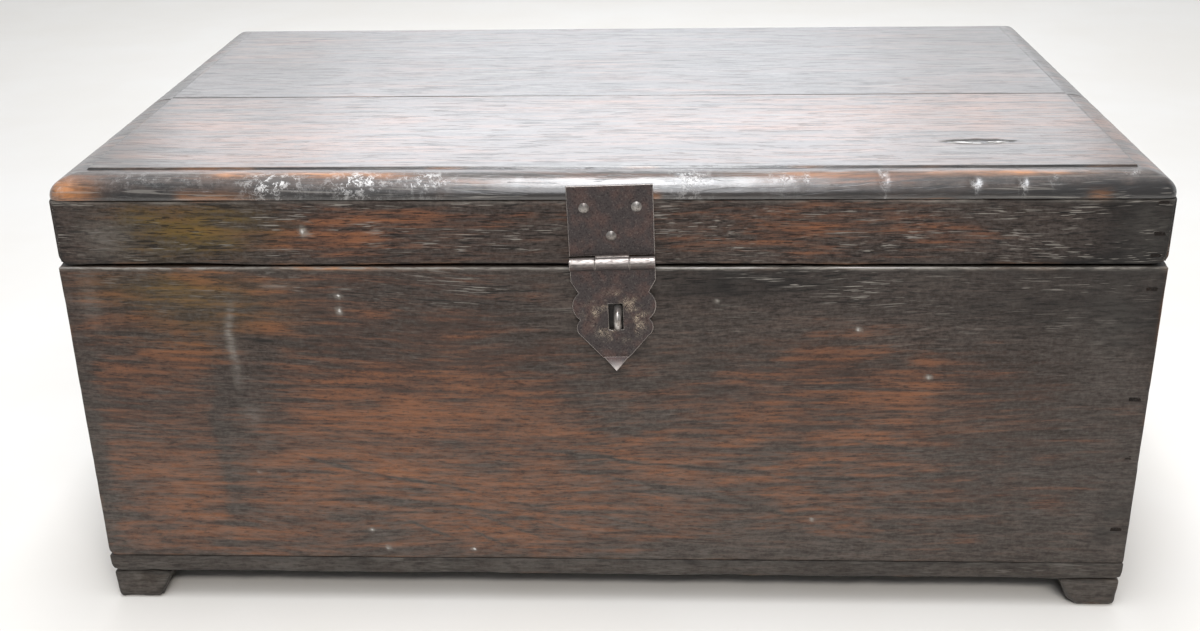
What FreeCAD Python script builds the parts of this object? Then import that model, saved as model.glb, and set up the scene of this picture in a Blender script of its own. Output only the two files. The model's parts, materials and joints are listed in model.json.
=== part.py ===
"""A wooden cash chest: a nailed box on four block feet, with a framed lid, hinges, hasp and staple.

X runs to the right, Y to the back and Z up, in millimetres. The origin is on the floor, under the
middle of the whole object. The lid is modelled shut, with the hasp hanging over its staple.
"""

import FreeCAD, Part
import math
import os

from FreeCAD import Placement, Rotation, Vector

# Box and lid
chest_length = 610.0
chest_depth = 385.0
body_height = 189.0
board_thickness = 15.0
bottom_thickness = 12.0
bottom_front_width = 205.0
lid_gap = 0.5
rail_height = 38.5
top_thickness = 13.0
top_front_width = 168.0
plank_gap = 0.4

# Thumb moulding round the top, and the worn edges
mould_width = 18.0
mould_foot = 4.0
mould_step = 1.4
top_corner_radius = 7.0
arris_radius = 1.6
lid_end_round = 6.0
bottom_round = 2.6

# Feet
foot_height = 19.0
foot_length = 36.0
foot_depth = 46.0
foot_inset = 0.5
foot_taper = 8.5
foot_round = 2.4

# Flat-headed nails that hold the boards, punched below the surface
nail_head_length = 7.0
nail_head_width = 2.2
nail_head_thickness = 1.5
nail_shank = 2.0
nail_length = 38.0
nail_sink = 0.6
nail_clearance = 0.05
corner_margin = 62.0
bottom_nail_count = 6
foot_nail_length = 25.0
foot_nail_spacing = 16.0

# Heights of the corner nails at the left and right ends, as shares of the board's height
body_nail_shares = ((0.12, 0.355, 0.57, 0.804), (0.124, 0.377, 0.575, 0.93))
rail_nail_shares = ((0.3, 0.683), (0.153, 0.48, 0.945))

# Places of the nails and pegs at a plank's ends, as shares of the plank's width
plank_end_shares = (0.32, 0.68)

# Blind wooden pegs between the rails and the top
peg_side = 6.0
peg_in_top = 6.0
peg_in_rail = 18.0
peg_clearance = 0.05

# Sheet iron: plates, knuckles, pins and the domed nails that hold the plates
sheet = 1.6
pin_radius = 2.0
pin_clearance = 0.06
knuckle_gap = 0.3
wood_clearance = 0.3
dome_radius = 2.9
dome_height = 1.2
dome_shank_radius = 1.0
dome_shank_length = 12.0
dome_clearance = 0.05

# Rear hinges
hinge_length = 50.0
hinge_middle_knuckle = 20.0
hinge_inset = 120.0
hinge_drop = 44.0
hinge_rise = 33.0
hinge_nail_side = 16.0
hinge_nail_far = 26.0
hinge_nail_near = 14.0

# Hasp, in its own frame: x along the pin from the middle, z up from the pin
hasp_width = 46.8
hasp_middle_knuckle = 18.8
hasp_offset = 4.5
hasp_pin_rise = 3.6
hasp_tilt_degrees = 1.6
hasp_leaf_rise = 44.0
hasp_nail_side = 14.2
hasp_nail_far = 31.6
hasp_nail_near = 15.2
flap_drop = 65.9
flap_tip_length = 8.4
flap_tip_degrees = 32.0
slot_width = 8.2
slot_height = 15.8
slot_drop = 32.5
slot_offset = 0.7

# Flap outline, as (share of half the hasp's width, share of the flap's drop)
shoulder_shares = (1.0, 0.165)
upper_cusp_shares = (0.83, 0.273)
upper_lobe_shares = (0.99, 0.387)
lower_cusp_shares = (0.815, 0.516)
lower_lobe_shares = (0.908, 0.587)
lower_end_shares = (0.795, 0.672)

# Staple: a bent wire whose two legs go through the front board and turn over inside it
wire_radius = 2.1
staple_height = 13.6
staple_reach = 11.6
staple_side_offset = 1.1
clench_radius = 3.4
clench_length = 9.0
staple_clearance = 0.1

# How far every cut runs past its surface, and how close two places are to count as one
overrun = 1.0
tolerance = 1e-6

# Places that follow from the sizes above
half_length = chest_length / 2
knuckle_bore = pin_radius + pin_clearance
knuckle_radius = knuckle_bore + sheet
hinge_reach = 2 * knuckle_radius + wood_clearance
flap_face = wood_clearance + sheet
flap_tip_reach = flap_face + flap_tip_length * math.sin(math.radians(flap_tip_degrees))
front_reach = max(staple_reach, hinge_reach, flap_tip_reach)
front_y = -chest_depth / 2 + (front_reach - hinge_reach) / 2
back_y = front_y + chest_depth
bottom_z = foot_height
board_z = bottom_z + bottom_thickness
body_top_z = board_z + body_height
rail_z = body_top_z + lid_gap
top_z = rail_z + rail_height
lid_top_z = top_z + top_thickness
end_nail_x = half_length - board_thickness / 2
front_nail_y = front_y + board_thickness / 2
back_nail_y = back_y - board_thickness / 2
hinge_pin_y = back_y + wood_clearance + knuckle_radius
hinge_pin_z = body_top_z + lid_gap / 2
hasp_pin_y = front_y - wood_clearance - knuckle_radius
hasp_pin_z = body_top_z + hasp_pin_rise

LEFT, RIGHT, UP = Vector(-1, 0, 0), Vector(1, 0, 0), Vector(0, 0, 1)
FRONT, BACK, DOWN = Vector(0, -1, 0), Vector(0, 1, 0), Vector(0, 0, -1)


def block(x0, x1, y0, y1, z0, z1):
    """A box between two corners."""
    return Part.makeBox(x1 - x0, y1 - y0, z1 - z0, Vector(x0, y0, z0))


def extrude(edges, path):
    """A solid from a closed ring of edges, pushed along path."""
    return Part.Face(Part.Wire(edges)).extrude(path)


def round_edges(shape, radius, wanted):
    """Rounds each edge whose box of corners satisfies wanted(lowest, highest)."""
    picked = []
    for edge in shape.Edges:
        box = edge.BoundBox
        if wanted(Vector(box.XMin, box.YMin, box.ZMin), Vector(box.XMax, box.YMax, box.ZMax)):
            picked.append(edge)
    return shape.makeFillet(radius, picked)


def same(a, b):
    """True where two places agree to within modelling tolerance."""
    return math.isclose(a, b, abs_tol=tolerance)


def spaced(first, last, count):
    """Evenly spaced places from first to last."""
    return [first + (last - first) * i / (count - 1) for i in range(count)]


def turned(shape, place, drive, along):
    """Moves a shape from its own frame, where it is driven along +Z with its long side on X."""
    shape = shape.copy()
    shape.Placement = Placement(place, Rotation(along, drive.cross(along), drive, "ZXY"))
    return shape


# Nails that hold the boards


def flat_nail(length):
    """A flat-headed square nail, driven along +Z from the surface at 0."""
    head_x, head_y, shank = nail_head_length / 2, nail_head_width / 2, nail_shank / 2
    head_end = nail_sink + nail_head_thickness
    head = block(-head_x, head_x, -head_y, head_y, nail_sink, head_end)
    stem = block(-shank, shank, -shank, shank, head_end, nail_sink + length)
    return head.fuse(stem).removeSplitter()


def flat_nail_hole(length):
    """The pit and hole that a flat-headed nail makes."""
    head_x = nail_head_length / 2 + nail_clearance
    head_y = nail_head_width / 2 + nail_clearance
    shank = nail_shank / 2 + nail_clearance
    head_end = nail_sink + nail_head_thickness + nail_clearance
    pit = block(-head_x, head_x, -head_y, head_y, -overrun, head_end)
    return pit.fuse(block(-shank, shank, -shank, shank, head_end, nail_sink + length + nail_clearance))


def flat_nails(places, drive, along, length=nail_length):
    """(nails, holes) for a row of places on the surface."""
    nails = [turned(flat_nail(length), p, drive, along) for p in places]
    holes = [turned(flat_nail_hole(length), p, drive, along) for p in places]
    return nails, holes


def dome_nail():
    """A nail with a low domed head, driven along +Z through a plate whose face is at 0."""
    rise = (dome_radius**2 - dome_height**2) / (2 * dome_height)
    ball = rise + dome_height
    head = Part.makeSphere(ball, Vector(0, 0, rise))
    head = head.common(block(-ball, ball, -ball, ball, -dome_height - overrun, 0))
    shank = Part.makeCylinder(dome_shank_radius, sheet + dome_shank_length)
    return head.fuse(shank).removeSplitter()


def dome_hole():
    """The hole through the plate and into the wood."""
    radius = dome_shank_radius + dome_clearance
    depth = sheet + dome_shank_length + dome_clearance
    return Part.makeCylinder(radius, depth + overrun, Vector(0, 0, -overrun))


def dome_nails(places, drive):
    """(nails, holes) for places on the plates' faces."""
    nails = [turned(dome_nail(), p, drive, RIGHT) for p in places]
    holes = [turned(dome_hole(), p, drive, RIGHT) for p in places]
    return nails, holes


def corner_nails(shares, low_z, height):
    """Nails through the front and the back pieces into the ends of the side pieces."""
    ends = zip((-end_nail_x, end_nail_x), shares)
    places = [(x, low_z + share * height) for x, side_shares in ends for share in side_shares]
    front = flat_nails([Vector(x, front_y, z) for x, z in places], BACK, RIGHT)
    back = flat_nails([Vector(x, back_y, z) for x, z in places], FRONT, RIGHT)
    return front, back


def peg(x, y, clearance):
    """A blind peg between a rail and the top, or the hole for it."""
    half = peg_side / 2 + clearance
    low, high = top_z - peg_in_rail - clearance, top_z + peg_in_top + clearance
    return block(x - half, x + half, y - half, y + half, low, high)


def plank_end_places(seam_y):
    """(x, y) of the places along both ends of two planks that meet at a seam."""
    planks = ((front_y, seam_y), (seam_y + plank_gap, back_y))
    run_y = [low + share * (high - low) for low, high in planks for share in plank_end_shares]
    return [(x, y) for x in (-end_nail_x, end_nail_x) for y in run_y]


# Body of the chest


def long_board(y0, y1, z0, z1, outer_y):
    """A front or back board with the edges of its outer face eased."""
    board = block(-half_length, half_length, y0, y1, z0, z1)
    return round_edges(board, arris_radius, lambda lo, hi: same(lo.y, outer_y) and same(hi.y, outer_y))


def end_board(side, z0, z1):
    """A board between the front and back boards, with its outer long edges eased."""
    outer = side * half_length
    inner = side * (half_length - board_thickness)
    y0, y1 = front_y + board_thickness, back_y - board_thickness
    board = block(min(outer, inner), max(outer, inner), y0, y1, z0, z1)

    def outer_long(lo, hi):
        return same(lo.x, outer) and same(hi.x, outer) and same(lo.z, hi.z)

    return round_edges(board, arris_radius, outer_long)


def bottom_plank(y0, y1, outer_y):
    """A bottom plank, with its outer lower edges and its two outer corners rounded."""
    plank = block(-half_length, half_length, y0, y1, bottom_z, board_z)

    def outer_lower(lo, hi):
        flat = same(hi.z, bottom_z)
        on_end = same(lo.x, hi.x)
        on_outer = same(lo.y, outer_y) and same(hi.y, outer_y)
        corner = on_end and on_outer
        return corner or (flat and (on_end or on_outer))

    return round_edges(plank, bottom_round, outer_lower)


def foot_corner(x_side, y_side):
    """(x, y) of a foot's outer corner."""
    x = x_side * (half_length - foot_inset)
    y = front_y + foot_inset if y_side < 0 else back_y - foot_inset
    return x, y


def foot(x_side, y_side):
    """A block foot whose two inner faces slope in towards the floor."""
    x, y = foot_corner(x_side, y_side)

    def ring(taper, z):
        far_x = x - x_side * (foot_length - taper)
        far_y = y - y_side * (foot_depth - taper)
        corners = ((x, y), (far_x, y), (far_x, far_y), (x, far_y), (x, y))
        return Part.makePolygon([Vector(*corner, z) for corner in corners])

    solid = Part.makeLoft([ring(0, bottom_z), ring(foot_taper, 0)], True, True)
    return round_edges(solid, foot_round, lambda lo, hi: same(lo.z, 0) and same(hi.z, 0))


def foot_nail_places(x_side, y_side):
    """Two places under a foot, along its length."""
    x, y = foot_corner(x_side, y_side)
    mid_x = x - x_side * (foot_length - foot_taper) / 2
    mid_y = y - y_side * (foot_depth - foot_taper) / 2
    return [Vector(mid_x, mid_y + share * foot_nail_spacing, 0) for share in (-0.5, 0.5)]


# Lid


def lid_rail(y0, y1, outer_y):
    """A front or back rail, round at its two lower ends, with the edges of its outer face eased."""
    rail = block(-half_length, half_length, y0, y1, rail_z, top_z)
    rail = round_edges(
        rail, lid_end_round, lambda lo, hi: same(lo.x, hi.x) and same(hi.z, rail_z)
    )

    def outer_face(lo, hi):
        return same(lo.y, outer_y) and same(hi.y, outer_y) and not same(lo.z, top_z)

    return round_edges(rail, arris_radius, outer_face)


def lid_end_rail(side):
    """A side rail between the front and back rails, round along its lower outer edge."""
    outer = side * half_length
    inner = side * (half_length - board_thickness)
    y0, y1 = front_y + board_thickness, back_y - board_thickness
    rail = block(min(outer, inner), max(outer, inner), y0, y1, rail_z, top_z)

    def lower_outer(lo, hi):
        return same(lo.x, outer) and same(hi.x, outer) and same(hi.z, rail_z)

    return round_edges(rail, lid_end_round, lower_outer)


def moulded_section(low, high, point):
    """Edges of the top's section from low to high, with the moulding at both ends."""
    crown = top_thickness - mould_step
    foot_level = top_z + mould_foot
    crown_level = top_z + crown
    bow = crown - mould_foot

    def thumb(edge, inward):
        centre = point(edge + inward * mould_width, foot_level)
        side = point(edge, foot_level)
        up = point(edge + inward * mould_width, crown_level)
        wide = mould_width >= bow
        ends = (side, up) if wide else (up, side)
        quarter = Part.Ellipse(ends[0], ends[1], centre)
        return Part.ArcOfEllipse(quarter, 0, math.pi / 2).toShape()

    left, right = low + mould_width, high - mould_width
    ring = [
        (point(low, top_z), point(low, foot_level)),
        (point(left, crown_level), point(left, lid_top_z)),
        (point(left, lid_top_z), point(right, lid_top_z)),
        (point(right, lid_top_z), point(right, crown_level)),
        (point(high, foot_level), point(high, top_z)),
        (point(high, top_z), point(low, top_z)),
    ]
    lines = [Part.makeLine(a, b) for a, b in ring]
    return Part.__sortEdges__(lines + [thumb(low, 1), thumb(high, -1)])


def moulded_top():
    """The whole top: one moulded section along each axis, met in mitres, with round corners."""
    along_y = extrude(
        moulded_section(-half_length, half_length, lambda u, z: Vector(u, front_y - overrun, z)),
        BACK * (chest_depth + 2 * overrun),
    )
    along_x = extrude(
        moulded_section(front_y, back_y, lambda u, z: Vector(-half_length - overrun, u, z)),
        RIGHT * (chest_length + 2 * overrun),
    )
    plan = block(-half_length, half_length, front_y, back_y, top_z, lid_top_z)
    plan = round_edges(plan, top_corner_radius, lambda lo, hi: same(lo.x, hi.x) and same(lo.y, hi.y))
    return along_y.common(along_x).common(plan)


def top_plank(y0, y1):
    """The stretch of the moulded top from y0 to y1."""
    window = block(-chest_length, chest_length, y0, y1, top_z - overrun, lid_top_z + overrun)
    return moulded_top().common(window)


# Hinged plates, drawn about a pin along X at the origin, lying on a wall at +Y


def knuckle(x0, x1):
    """A rolled knuckle, solid apart from its bore."""
    tube = Part.makeCylinder(knuckle_radius, x1 - x0, Vector(x0, 0, 0), RIGHT)
    bore = Part.makeCylinder(knuckle_bore, x1 - x0 + 2 * overrun, Vector(x0 - overrun, 0, 0), RIGHT)
    return tube.cut(bore)


def knuckle_spans(width, middle):
    """(spans of the outer knuckles, span of the middle knuckle), with gaps between them."""
    half, mid = width / 2, middle / 2
    outer = [(-half, -mid - knuckle_gap / 2), (mid + knuckle_gap / 2, half)]
    return outer, [(-mid + knuckle_gap / 2, mid - knuckle_gap / 2)]


def hinged_plate(plate, spans, wall_y, up):
    """A plate joined to its knuckles by tongues that reach the pin's level."""
    near = knuckle_radius + knuckle_gap
    shape = plate
    bore = Part.makeCylinder(knuckle_bore, 2 * chest_length, Vector(-chest_length, 0, 0), RIGHT)
    for x0, x1 in spans:
        tongue = block(x0, x1, wall_y - sheet, wall_y, min(0, up * near), max(0, up * near))
        shape = shape.fuse(tongue.cut(bore)).fuse(knuckle(x0, x1))
    return shape.removeSplitter()


def leaf(width, middle, reach, up, outer_knuckles, wall_y):
    """A rectangular leaf that stands up or hangs down from the pin by reach."""
    near = up * (knuckle_radius + knuckle_gap)
    far = up * reach
    plate = block(-width / 2, width / 2, wall_y - sheet, wall_y, min(near, far), max(near, far))
    outer, mid = knuckle_spans(width, middle)
    return hinged_plate(plate, outer if outer_knuckles else mid, wall_y, up)


def pin(width):
    """A pin as long as its hinge."""
    return Part.makeCylinder(pin_radius, width, Vector(-width / 2, 0, 0), RIGHT)


def three_places(side, far, near, up, wall_y):
    """Two nails far from the pin and one near it, on a leaf's face."""
    face = wall_y - sheet
    return [Vector(-side, face, up * far), Vector(side, face, up * far), Vector(0, face, up * near)]


def flap_point(shares, side):
    """A point of the flap's outline on one side, on the flap's wall face."""
    return Vector(side * shares[0] * hasp_width / 2, knuckle_radius, -shares[1] * flap_drop)


def flap_side(side):
    """Edges of the flap's outline from its top to its tip."""
    top = Vector(side * hasp_width / 2, knuckle_radius, -knuckle_radius - knuckle_gap)
    shoulder, upper_cusp, upper_lobe, lower_cusp, lower_lobe, lower_end = [
        flap_point(s, side)
        for s in (
            shoulder_shares,
            upper_cusp_shares,
            upper_lobe_shares,
            lower_cusp_shares,
            lower_lobe_shares,
            lower_end_shares,
        )
    ]
    tip = Vector(0, knuckle_radius, -flap_drop)
    return [
        Part.makeLine(top, shoulder),
        Part.makeLine(shoulder, upper_cusp),
        Part.Arc(upper_cusp, upper_lobe, lower_cusp).toShape(),
        Part.Arc(lower_cusp, lower_lobe, lower_end).toShape(),
        Part.makeLine(lower_end, tip),
    ]


def flap():
    """The scalloped flap, slotted for the staple, with its tip turned out as a finger lift."""
    top = -knuckle_radius - knuckle_gap
    across = Part.makeLine(
        Vector(-hasp_width / 2, knuckle_radius, top), Vector(hasp_width / 2, knuckle_radius, top)
    )
    edges = Part.__sortEdges__(flap_side(-1) + flap_side(1) + [across])
    sheet_metal = extrude(edges, FRONT * sheet)
    bend_z = flap_tip_length - flap_drop
    below = block(
        -hasp_width, hasp_width, -knuckle_radius, knuckle_radius + overrun, -flap_drop - overrun, bend_z
    )
    tip = sheet_metal.common(below)
    tip.rotate(Vector(0, knuckle_radius, bend_z), LEFT, flap_tip_degrees)
    slot = block(
        slot_offset - slot_width / 2,
        slot_offset + slot_width / 2,
        -knuckle_radius,
        knuckle_radius + overrun,
        -slot_drop - slot_height / 2,
        -slot_drop + slot_height / 2,
    )
    plate = sheet_metal.cut(below).fuse(tip).cut(slot)
    outer, _ = knuckle_spans(hasp_width, hasp_middle_knuckle)
    return hinged_plate(plate, outer, knuckle_radius, -1)


def on_front(shape):
    """Moves a hasp piece from its own frame to the front of the chest, with its slight tilt."""
    shape = shape.copy()
    tilt = Rotation(BACK, -hasp_tilt_degrees)
    shape.Placement = Placement(Vector(hasp_offset, hasp_pin_y, hasp_pin_z), tilt).multiply(shape.Placement)
    return shape


def on_back(shape, x):
    """Moves a hinge piece from its own frame to the back of the chest."""
    shape = shape.copy()
    half_turn = Rotation(UP, math.degrees(math.pi))
    shape.Placement = Placement(Vector(x, hinge_pin_y, hinge_pin_z), half_turn).multiply(shape.Placement)
    return shape


# Staple


def staple_place():
    """(x, z) of the staple's middle: that of the hasp's slot, a little to one side."""
    tilt = math.radians(hasp_tilt_degrees)
    x = hasp_offset + slot_offset * math.cos(tilt) + slot_drop * math.sin(tilt) + staple_side_offset
    z = hasp_pin_z + slot_offset * math.sin(tilt) - slot_drop * math.cos(tilt)
    return x, z


def staple():
    """The bent wire: an eye in front, two legs through the board, and two clenched ends inside."""
    x, z = staple_place()
    leg = staple_height / 2 - wire_radius
    eye_y = front_y - staple_reach + wire_radius + leg
    inner_y = front_y + board_thickness
    clench_y = inner_y + clench_radius
    corner = clench_radius * (1 - math.sqrt(0.5))

    def at(y, dz):
        return Vector(x, y, z + dz)

    turn = leg + clench_radius
    start = at(clench_y, turn + clench_length)
    path = [
        Part.makeLine(start, at(clench_y, turn)),
        Part.Arc(at(clench_y, turn), at(clench_y - corner, leg + corner), at(inner_y, leg)).toShape(),
        Part.makeLine(at(inner_y, leg), at(eye_y, leg)),
        Part.Arc(at(eye_y, leg), at(eye_y - leg, 0), at(eye_y, -leg)).toShape(),
        Part.makeLine(at(eye_y, -leg), at(inner_y, -leg)),
        Part.Arc(at(inner_y, -leg), at(clench_y - corner, -leg - corner), at(clench_y, -turn)).toShape(),
        Part.makeLine(at(clench_y, -turn), at(clench_y, -turn - clench_length)),
    ]
    section = Part.Wire(Part.makeCircle(wire_radius, start, DOWN))
    return Part.Wire(path).makePipeShell([section], True, False)


def staple_holes():
    """Holes through the front board for the staple's legs."""
    x, z = staple_place()
    leg = staple_height / 2 - wire_radius
    depth = board_thickness + 2 * overrun
    return [
        Part.makeCylinder(wire_radius + staple_clearance, depth, Vector(x, front_y - overrun, z + dz), BACK)
        for dz in (leg, -leg)
    ]


def build():
    """Every piece of the chest by its node's name."""
    body_front, body_back = corner_nails(body_nail_shares, board_z, body_height)
    rail_front, rail_back = corner_nails(rail_nail_shares, rail_z, rail_height)
    body_holes = body_front[1] + body_back[1]
    rail_holes = rail_front[1] + rail_back[1]

    run_x = spaced(-half_length + corner_margin, half_length - corner_margin, bottom_nail_count)
    top_seam_y = front_y + top_front_width
    bottom_seam_y = front_y + bottom_front_width
    long_places = [(x, y) for y in (front_nail_y, back_nail_y) for x in run_x]
    bottom_rows = [
        flat_nails([Vector(x, y, bottom_z) for x, y in long_places], UP, RIGHT),
        flat_nails([Vector(x, y, bottom_z) for x, y in plank_end_places(bottom_seam_y)], UP, BACK),
    ]
    bottom_nails, bottom_holes = [sum(kind, []) for kind in zip(*bottom_rows)]

    hinge_x = half_length - hinge_inset
    hinges = {"left": -hinge_x, "right": hinge_x}
    beside_hinge = hinge_length / 2 + peg_side
    peg_places = [(x, front_nail_y) for x in run_x]
    peg_places += [(x + side * beside_hinge, back_nail_y) for x in hinges.values() for side in (-1, 1)]
    peg_places += plank_end_places(top_seam_y)
    pegs = [peg(x, y, 0) for x, y in peg_places]
    peg_holes = [peg(x, y, peg_clearance) for x, y in peg_places]

    feet_at = {"left": -1, "right": 1}
    ends_at = {"front": -1, "back": 1}
    corners = {f"{end}_{side}": (x, y) for end, y in ends_at.items() for side, x in feet_at.items()}
    foot_places = sum([foot_nail_places(x, y) for x, y in corners.values()], [])
    foot_nails, foot_holes = flat_nails(foot_places, UP, RIGHT, foot_nail_length)

    hinge_wall = knuckle_radius + wood_clearance
    leaf_nails, leaf_holes = {}, {}
    for name, far, up in (("upper", hinge_nail_far, 1), ("lower", hinge_drop - hinge_nail_near, -1)):
        places = three_places(hinge_nail_side, far, hinge_nail_near, up, hinge_wall)
        leaf_nails[name], leaf_holes[name] = dome_nails(places, BACK)
    hasp_places = three_places(hasp_nail_side, hasp_nail_far, hasp_nail_near, 1, hinge_wall)
    hasp_nails, hasp_holes = [[on_front(s) for s in kind] for kind in dome_nails(hasp_places, BACK)]

    hinge_nails = {k: [on_back(n, x) for x in hinges.values() for n in leaf_nails[k]] for k in leaf_nails}
    hinge_holes = {k: [on_back(h, x) for x in hinges.values() for h in leaf_holes[k]] for k in leaf_holes}

    inner_front_y, inner_back_y = front_y + board_thickness, back_y - board_thickness
    parts = {
        "front_board": long_board(front_y, inner_front_y, board_z, body_top_z, front_y).cut(
            body_front[1] + bottom_holes + staple_holes()
        ),
        "back_board": long_board(inner_back_y, back_y, board_z, body_top_z, back_y).cut(
            body_back[1] + bottom_holes + hinge_holes["lower"]
        ),
        "bottom_plank_front": bottom_plank(front_y, bottom_seam_y, front_y).cut(bottom_holes + foot_holes),
        "bottom_plank_back": bottom_plank(bottom_seam_y + plank_gap, back_y, back_y).cut(
            bottom_holes + foot_holes
        ),
        "lid_front_rail": lid_rail(front_y, inner_front_y, front_y).cut(
            rail_front[1] + peg_holes + hasp_holes
        ),
        "lid_back_rail": lid_rail(inner_back_y, back_y, back_y).cut(
            rail_back[1] + peg_holes + hinge_holes["upper"]
        ),
        "lid_top_plank_front": top_plank(front_y, top_seam_y).cut(peg_holes),
        "lid_top_plank_back": top_plank(top_seam_y + plank_gap, back_y).cut(peg_holes),
        "body_nails_front": Part.makeCompound(body_front[0]),
        "body_nails_back": Part.makeCompound(body_back[0]),
        "bottom_nails": Part.makeCompound(bottom_nails),
        "foot_nails": Part.makeCompound(foot_nails),
        "lid_nails_front": Part.makeCompound(rail_front[0]),
        "lid_nails_back": Part.makeCompound(rail_back[0]),
        "lid_pegs": Part.makeCompound(pegs),
        "hinge_nails_body": Part.makeCompound(hinge_nails["lower"]),
        "hinge_nails_lid": Part.makeCompound(hinge_nails["upper"]),
        "hasp_nails": Part.makeCompound(hasp_nails),
        "hasp_leaf": on_front(
            leaf(hasp_width, hasp_middle_knuckle, hasp_leaf_rise, 1, False, hinge_wall)
        ).cut(hasp_holes),
        "hasp_pin": on_front(pin(hasp_width)),
        "hasp_flap": on_front(flap()),
        "staple": staple(),
    }
    for name, side in feet_at.items():
        parts[f"{name}_end_board"] = end_board(side, board_z, body_top_z).cut(body_holes + bottom_holes)
        parts[f"lid_{name}_rail"] = lid_end_rail(side).cut(rail_holes + peg_holes)
    for name, (x_side, y_side) in corners.items():
        parts[f"foot_{name}"] = foot(x_side, y_side).cut(foot_holes)
    for name, x in hinges.items():
        upper = leaf(hinge_length, hinge_middle_knuckle, hinge_rise, 1, False, hinge_wall)
        lower = leaf(hinge_length, hinge_middle_knuckle, hinge_drop, -1, True, hinge_wall)
        parts[f"hinge_{name}_lid_leaf"] = on_back(upper, x).cut(hinge_holes["upper"])
        parts[f"hinge_{name}_body_leaf"] = on_back(lower, x).cut(hinge_holes["lower"])
        parts[f"hinge_{name}_pin"] = on_back(pin(hinge_length), x)
    return parts


os.makedirs("parts", exist_ok=True)
for node, solid in build().items():
    solid.exportStep(f"parts/{node}.step")
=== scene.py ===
"""Dresses the cash chest: worn dark teak, patinated iron and a bright staple, on a pale floor."""

import json
import math
from types import SimpleNamespace

import bpy
import numpy as np
from mathutils import Matrix, Vector


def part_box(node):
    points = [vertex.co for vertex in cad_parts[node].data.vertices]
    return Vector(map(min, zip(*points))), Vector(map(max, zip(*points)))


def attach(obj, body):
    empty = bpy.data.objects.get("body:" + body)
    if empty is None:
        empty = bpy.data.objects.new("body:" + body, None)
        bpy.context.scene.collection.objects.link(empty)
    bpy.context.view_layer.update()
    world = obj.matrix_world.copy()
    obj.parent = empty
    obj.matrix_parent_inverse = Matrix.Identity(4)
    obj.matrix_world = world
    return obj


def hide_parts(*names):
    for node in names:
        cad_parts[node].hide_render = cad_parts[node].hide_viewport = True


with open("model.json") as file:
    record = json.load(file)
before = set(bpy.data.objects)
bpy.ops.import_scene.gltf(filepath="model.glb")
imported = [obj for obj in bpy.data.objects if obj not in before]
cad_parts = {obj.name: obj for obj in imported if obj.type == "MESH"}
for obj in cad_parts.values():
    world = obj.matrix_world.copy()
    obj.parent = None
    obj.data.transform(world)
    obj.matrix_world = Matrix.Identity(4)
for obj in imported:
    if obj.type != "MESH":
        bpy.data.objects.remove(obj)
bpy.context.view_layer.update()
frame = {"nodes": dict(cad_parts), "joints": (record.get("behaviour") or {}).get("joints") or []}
NODES = frame["nodes"]
JOINTS = {joint["name"]: joint for joint in frame["joints"]}
MM = 1000.0
TINY = 1e-9

# The photograph's camera: focal length in pixels of a 1200 pixel wide frame, angles in degrees,
# and its place in mm from the middle of the front board's top edge
FOCAL_PX, FRAME_WIDTH_PX, SENSOR_MM = 1428.3, 1200.0, 36.0
YAW, PITCH, ROLL = -2.7, 23.52, 1.01
CAMERA_OFFSET = (31.5, -728.2, 288.4)


def box_mm(node):
    """Lowest and highest corner of a CAD node, in mm."""
    low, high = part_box(node)
    return np.array(low) * MM, np.array(high) * MM


def face_level(low, high, axis, sign):
    """Where the lower or upper face of a box lies along an axis."""
    return (high if sign > 0 else low)[axis]


FRONT_LOW, FRONT_HIGH = box_mm("front_board")
FRONT_Y, SEAM_Z = FRONT_LOW[1], FRONT_HIGH[2]


# Smooth repeatable noise on arrays of points

# Multipliers that scramble a cell's three numbers, the seed and their sum
CELL_HASH = np.array([73856093, 19349663, 83492791])
SEED_HASH, SUM_HASH = 2654435761, 1274126177
# How far a stroke fades at its start and its end, in mm
STROKE_START, STROKE_END = 5, 8


def lattice(cells, seed):
    """Repeatable values from 0 to 1 at whole-numbered cells."""
    h = cells.astype(np.int64) @ CELL_HASH + seed * SEED_HASH
    h = (h ^ (h >> 13)) * SUM_HASH & 0xFFFFFFFF
    return ((h ^ (h >> 16)) & 0xFFFF) / 0xFFFF


def noise(points, size, seed=0):
    """Noise from -1 to 1 whose lumps have the given sizes."""
    p = points / np.asarray(size, float)
    cell = np.floor(p)
    f = p - cell
    f = f * f * (3 - 2 * f)
    total = 0
    for corner in np.ndindex(2, 2, 2):
        weight = np.prod(np.where(corner, f, 1 - f), axis=1)
        total = total + weight * lattice(cell + corner, seed)
    return 2 * total - 1


def rough_noise(points, size, seed=0, octaves=3):
    """Noise with finer layers on top."""
    size = np.asarray(size, float)
    layers = [noise(points, size / 2**k, seed + 17 * k) / 2**k for k in range(octaves)]
    return sum(layers) / sum(0.5**k for k in range(octaves))


def ragged_share(points, amount, size, seed):
    """Uneven shares round 1, from 0 to 2."""
    return np.clip(1 + amount * rough_noise(points, size, seed), 0, 2)


def smooth(a, b, x):
    """A smooth step from 0 at a to 1 at b, where b may be the lower one."""
    t = np.clip((x - a) / (b - a), 0, 1)
    return t * t * (3 - 2 * t)


def spots(u, v, table):
    """The sum of soft spots, each (u, v, radius u, radius v, strength)."""
    total = np.zeros(len(u))
    for cu, cv, ru, rv, strength in table:
        total += strength * np.exp(-(((u - cu) / ru) ** 2) - ((v - cv) / rv) ** 2)
    return total


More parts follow.
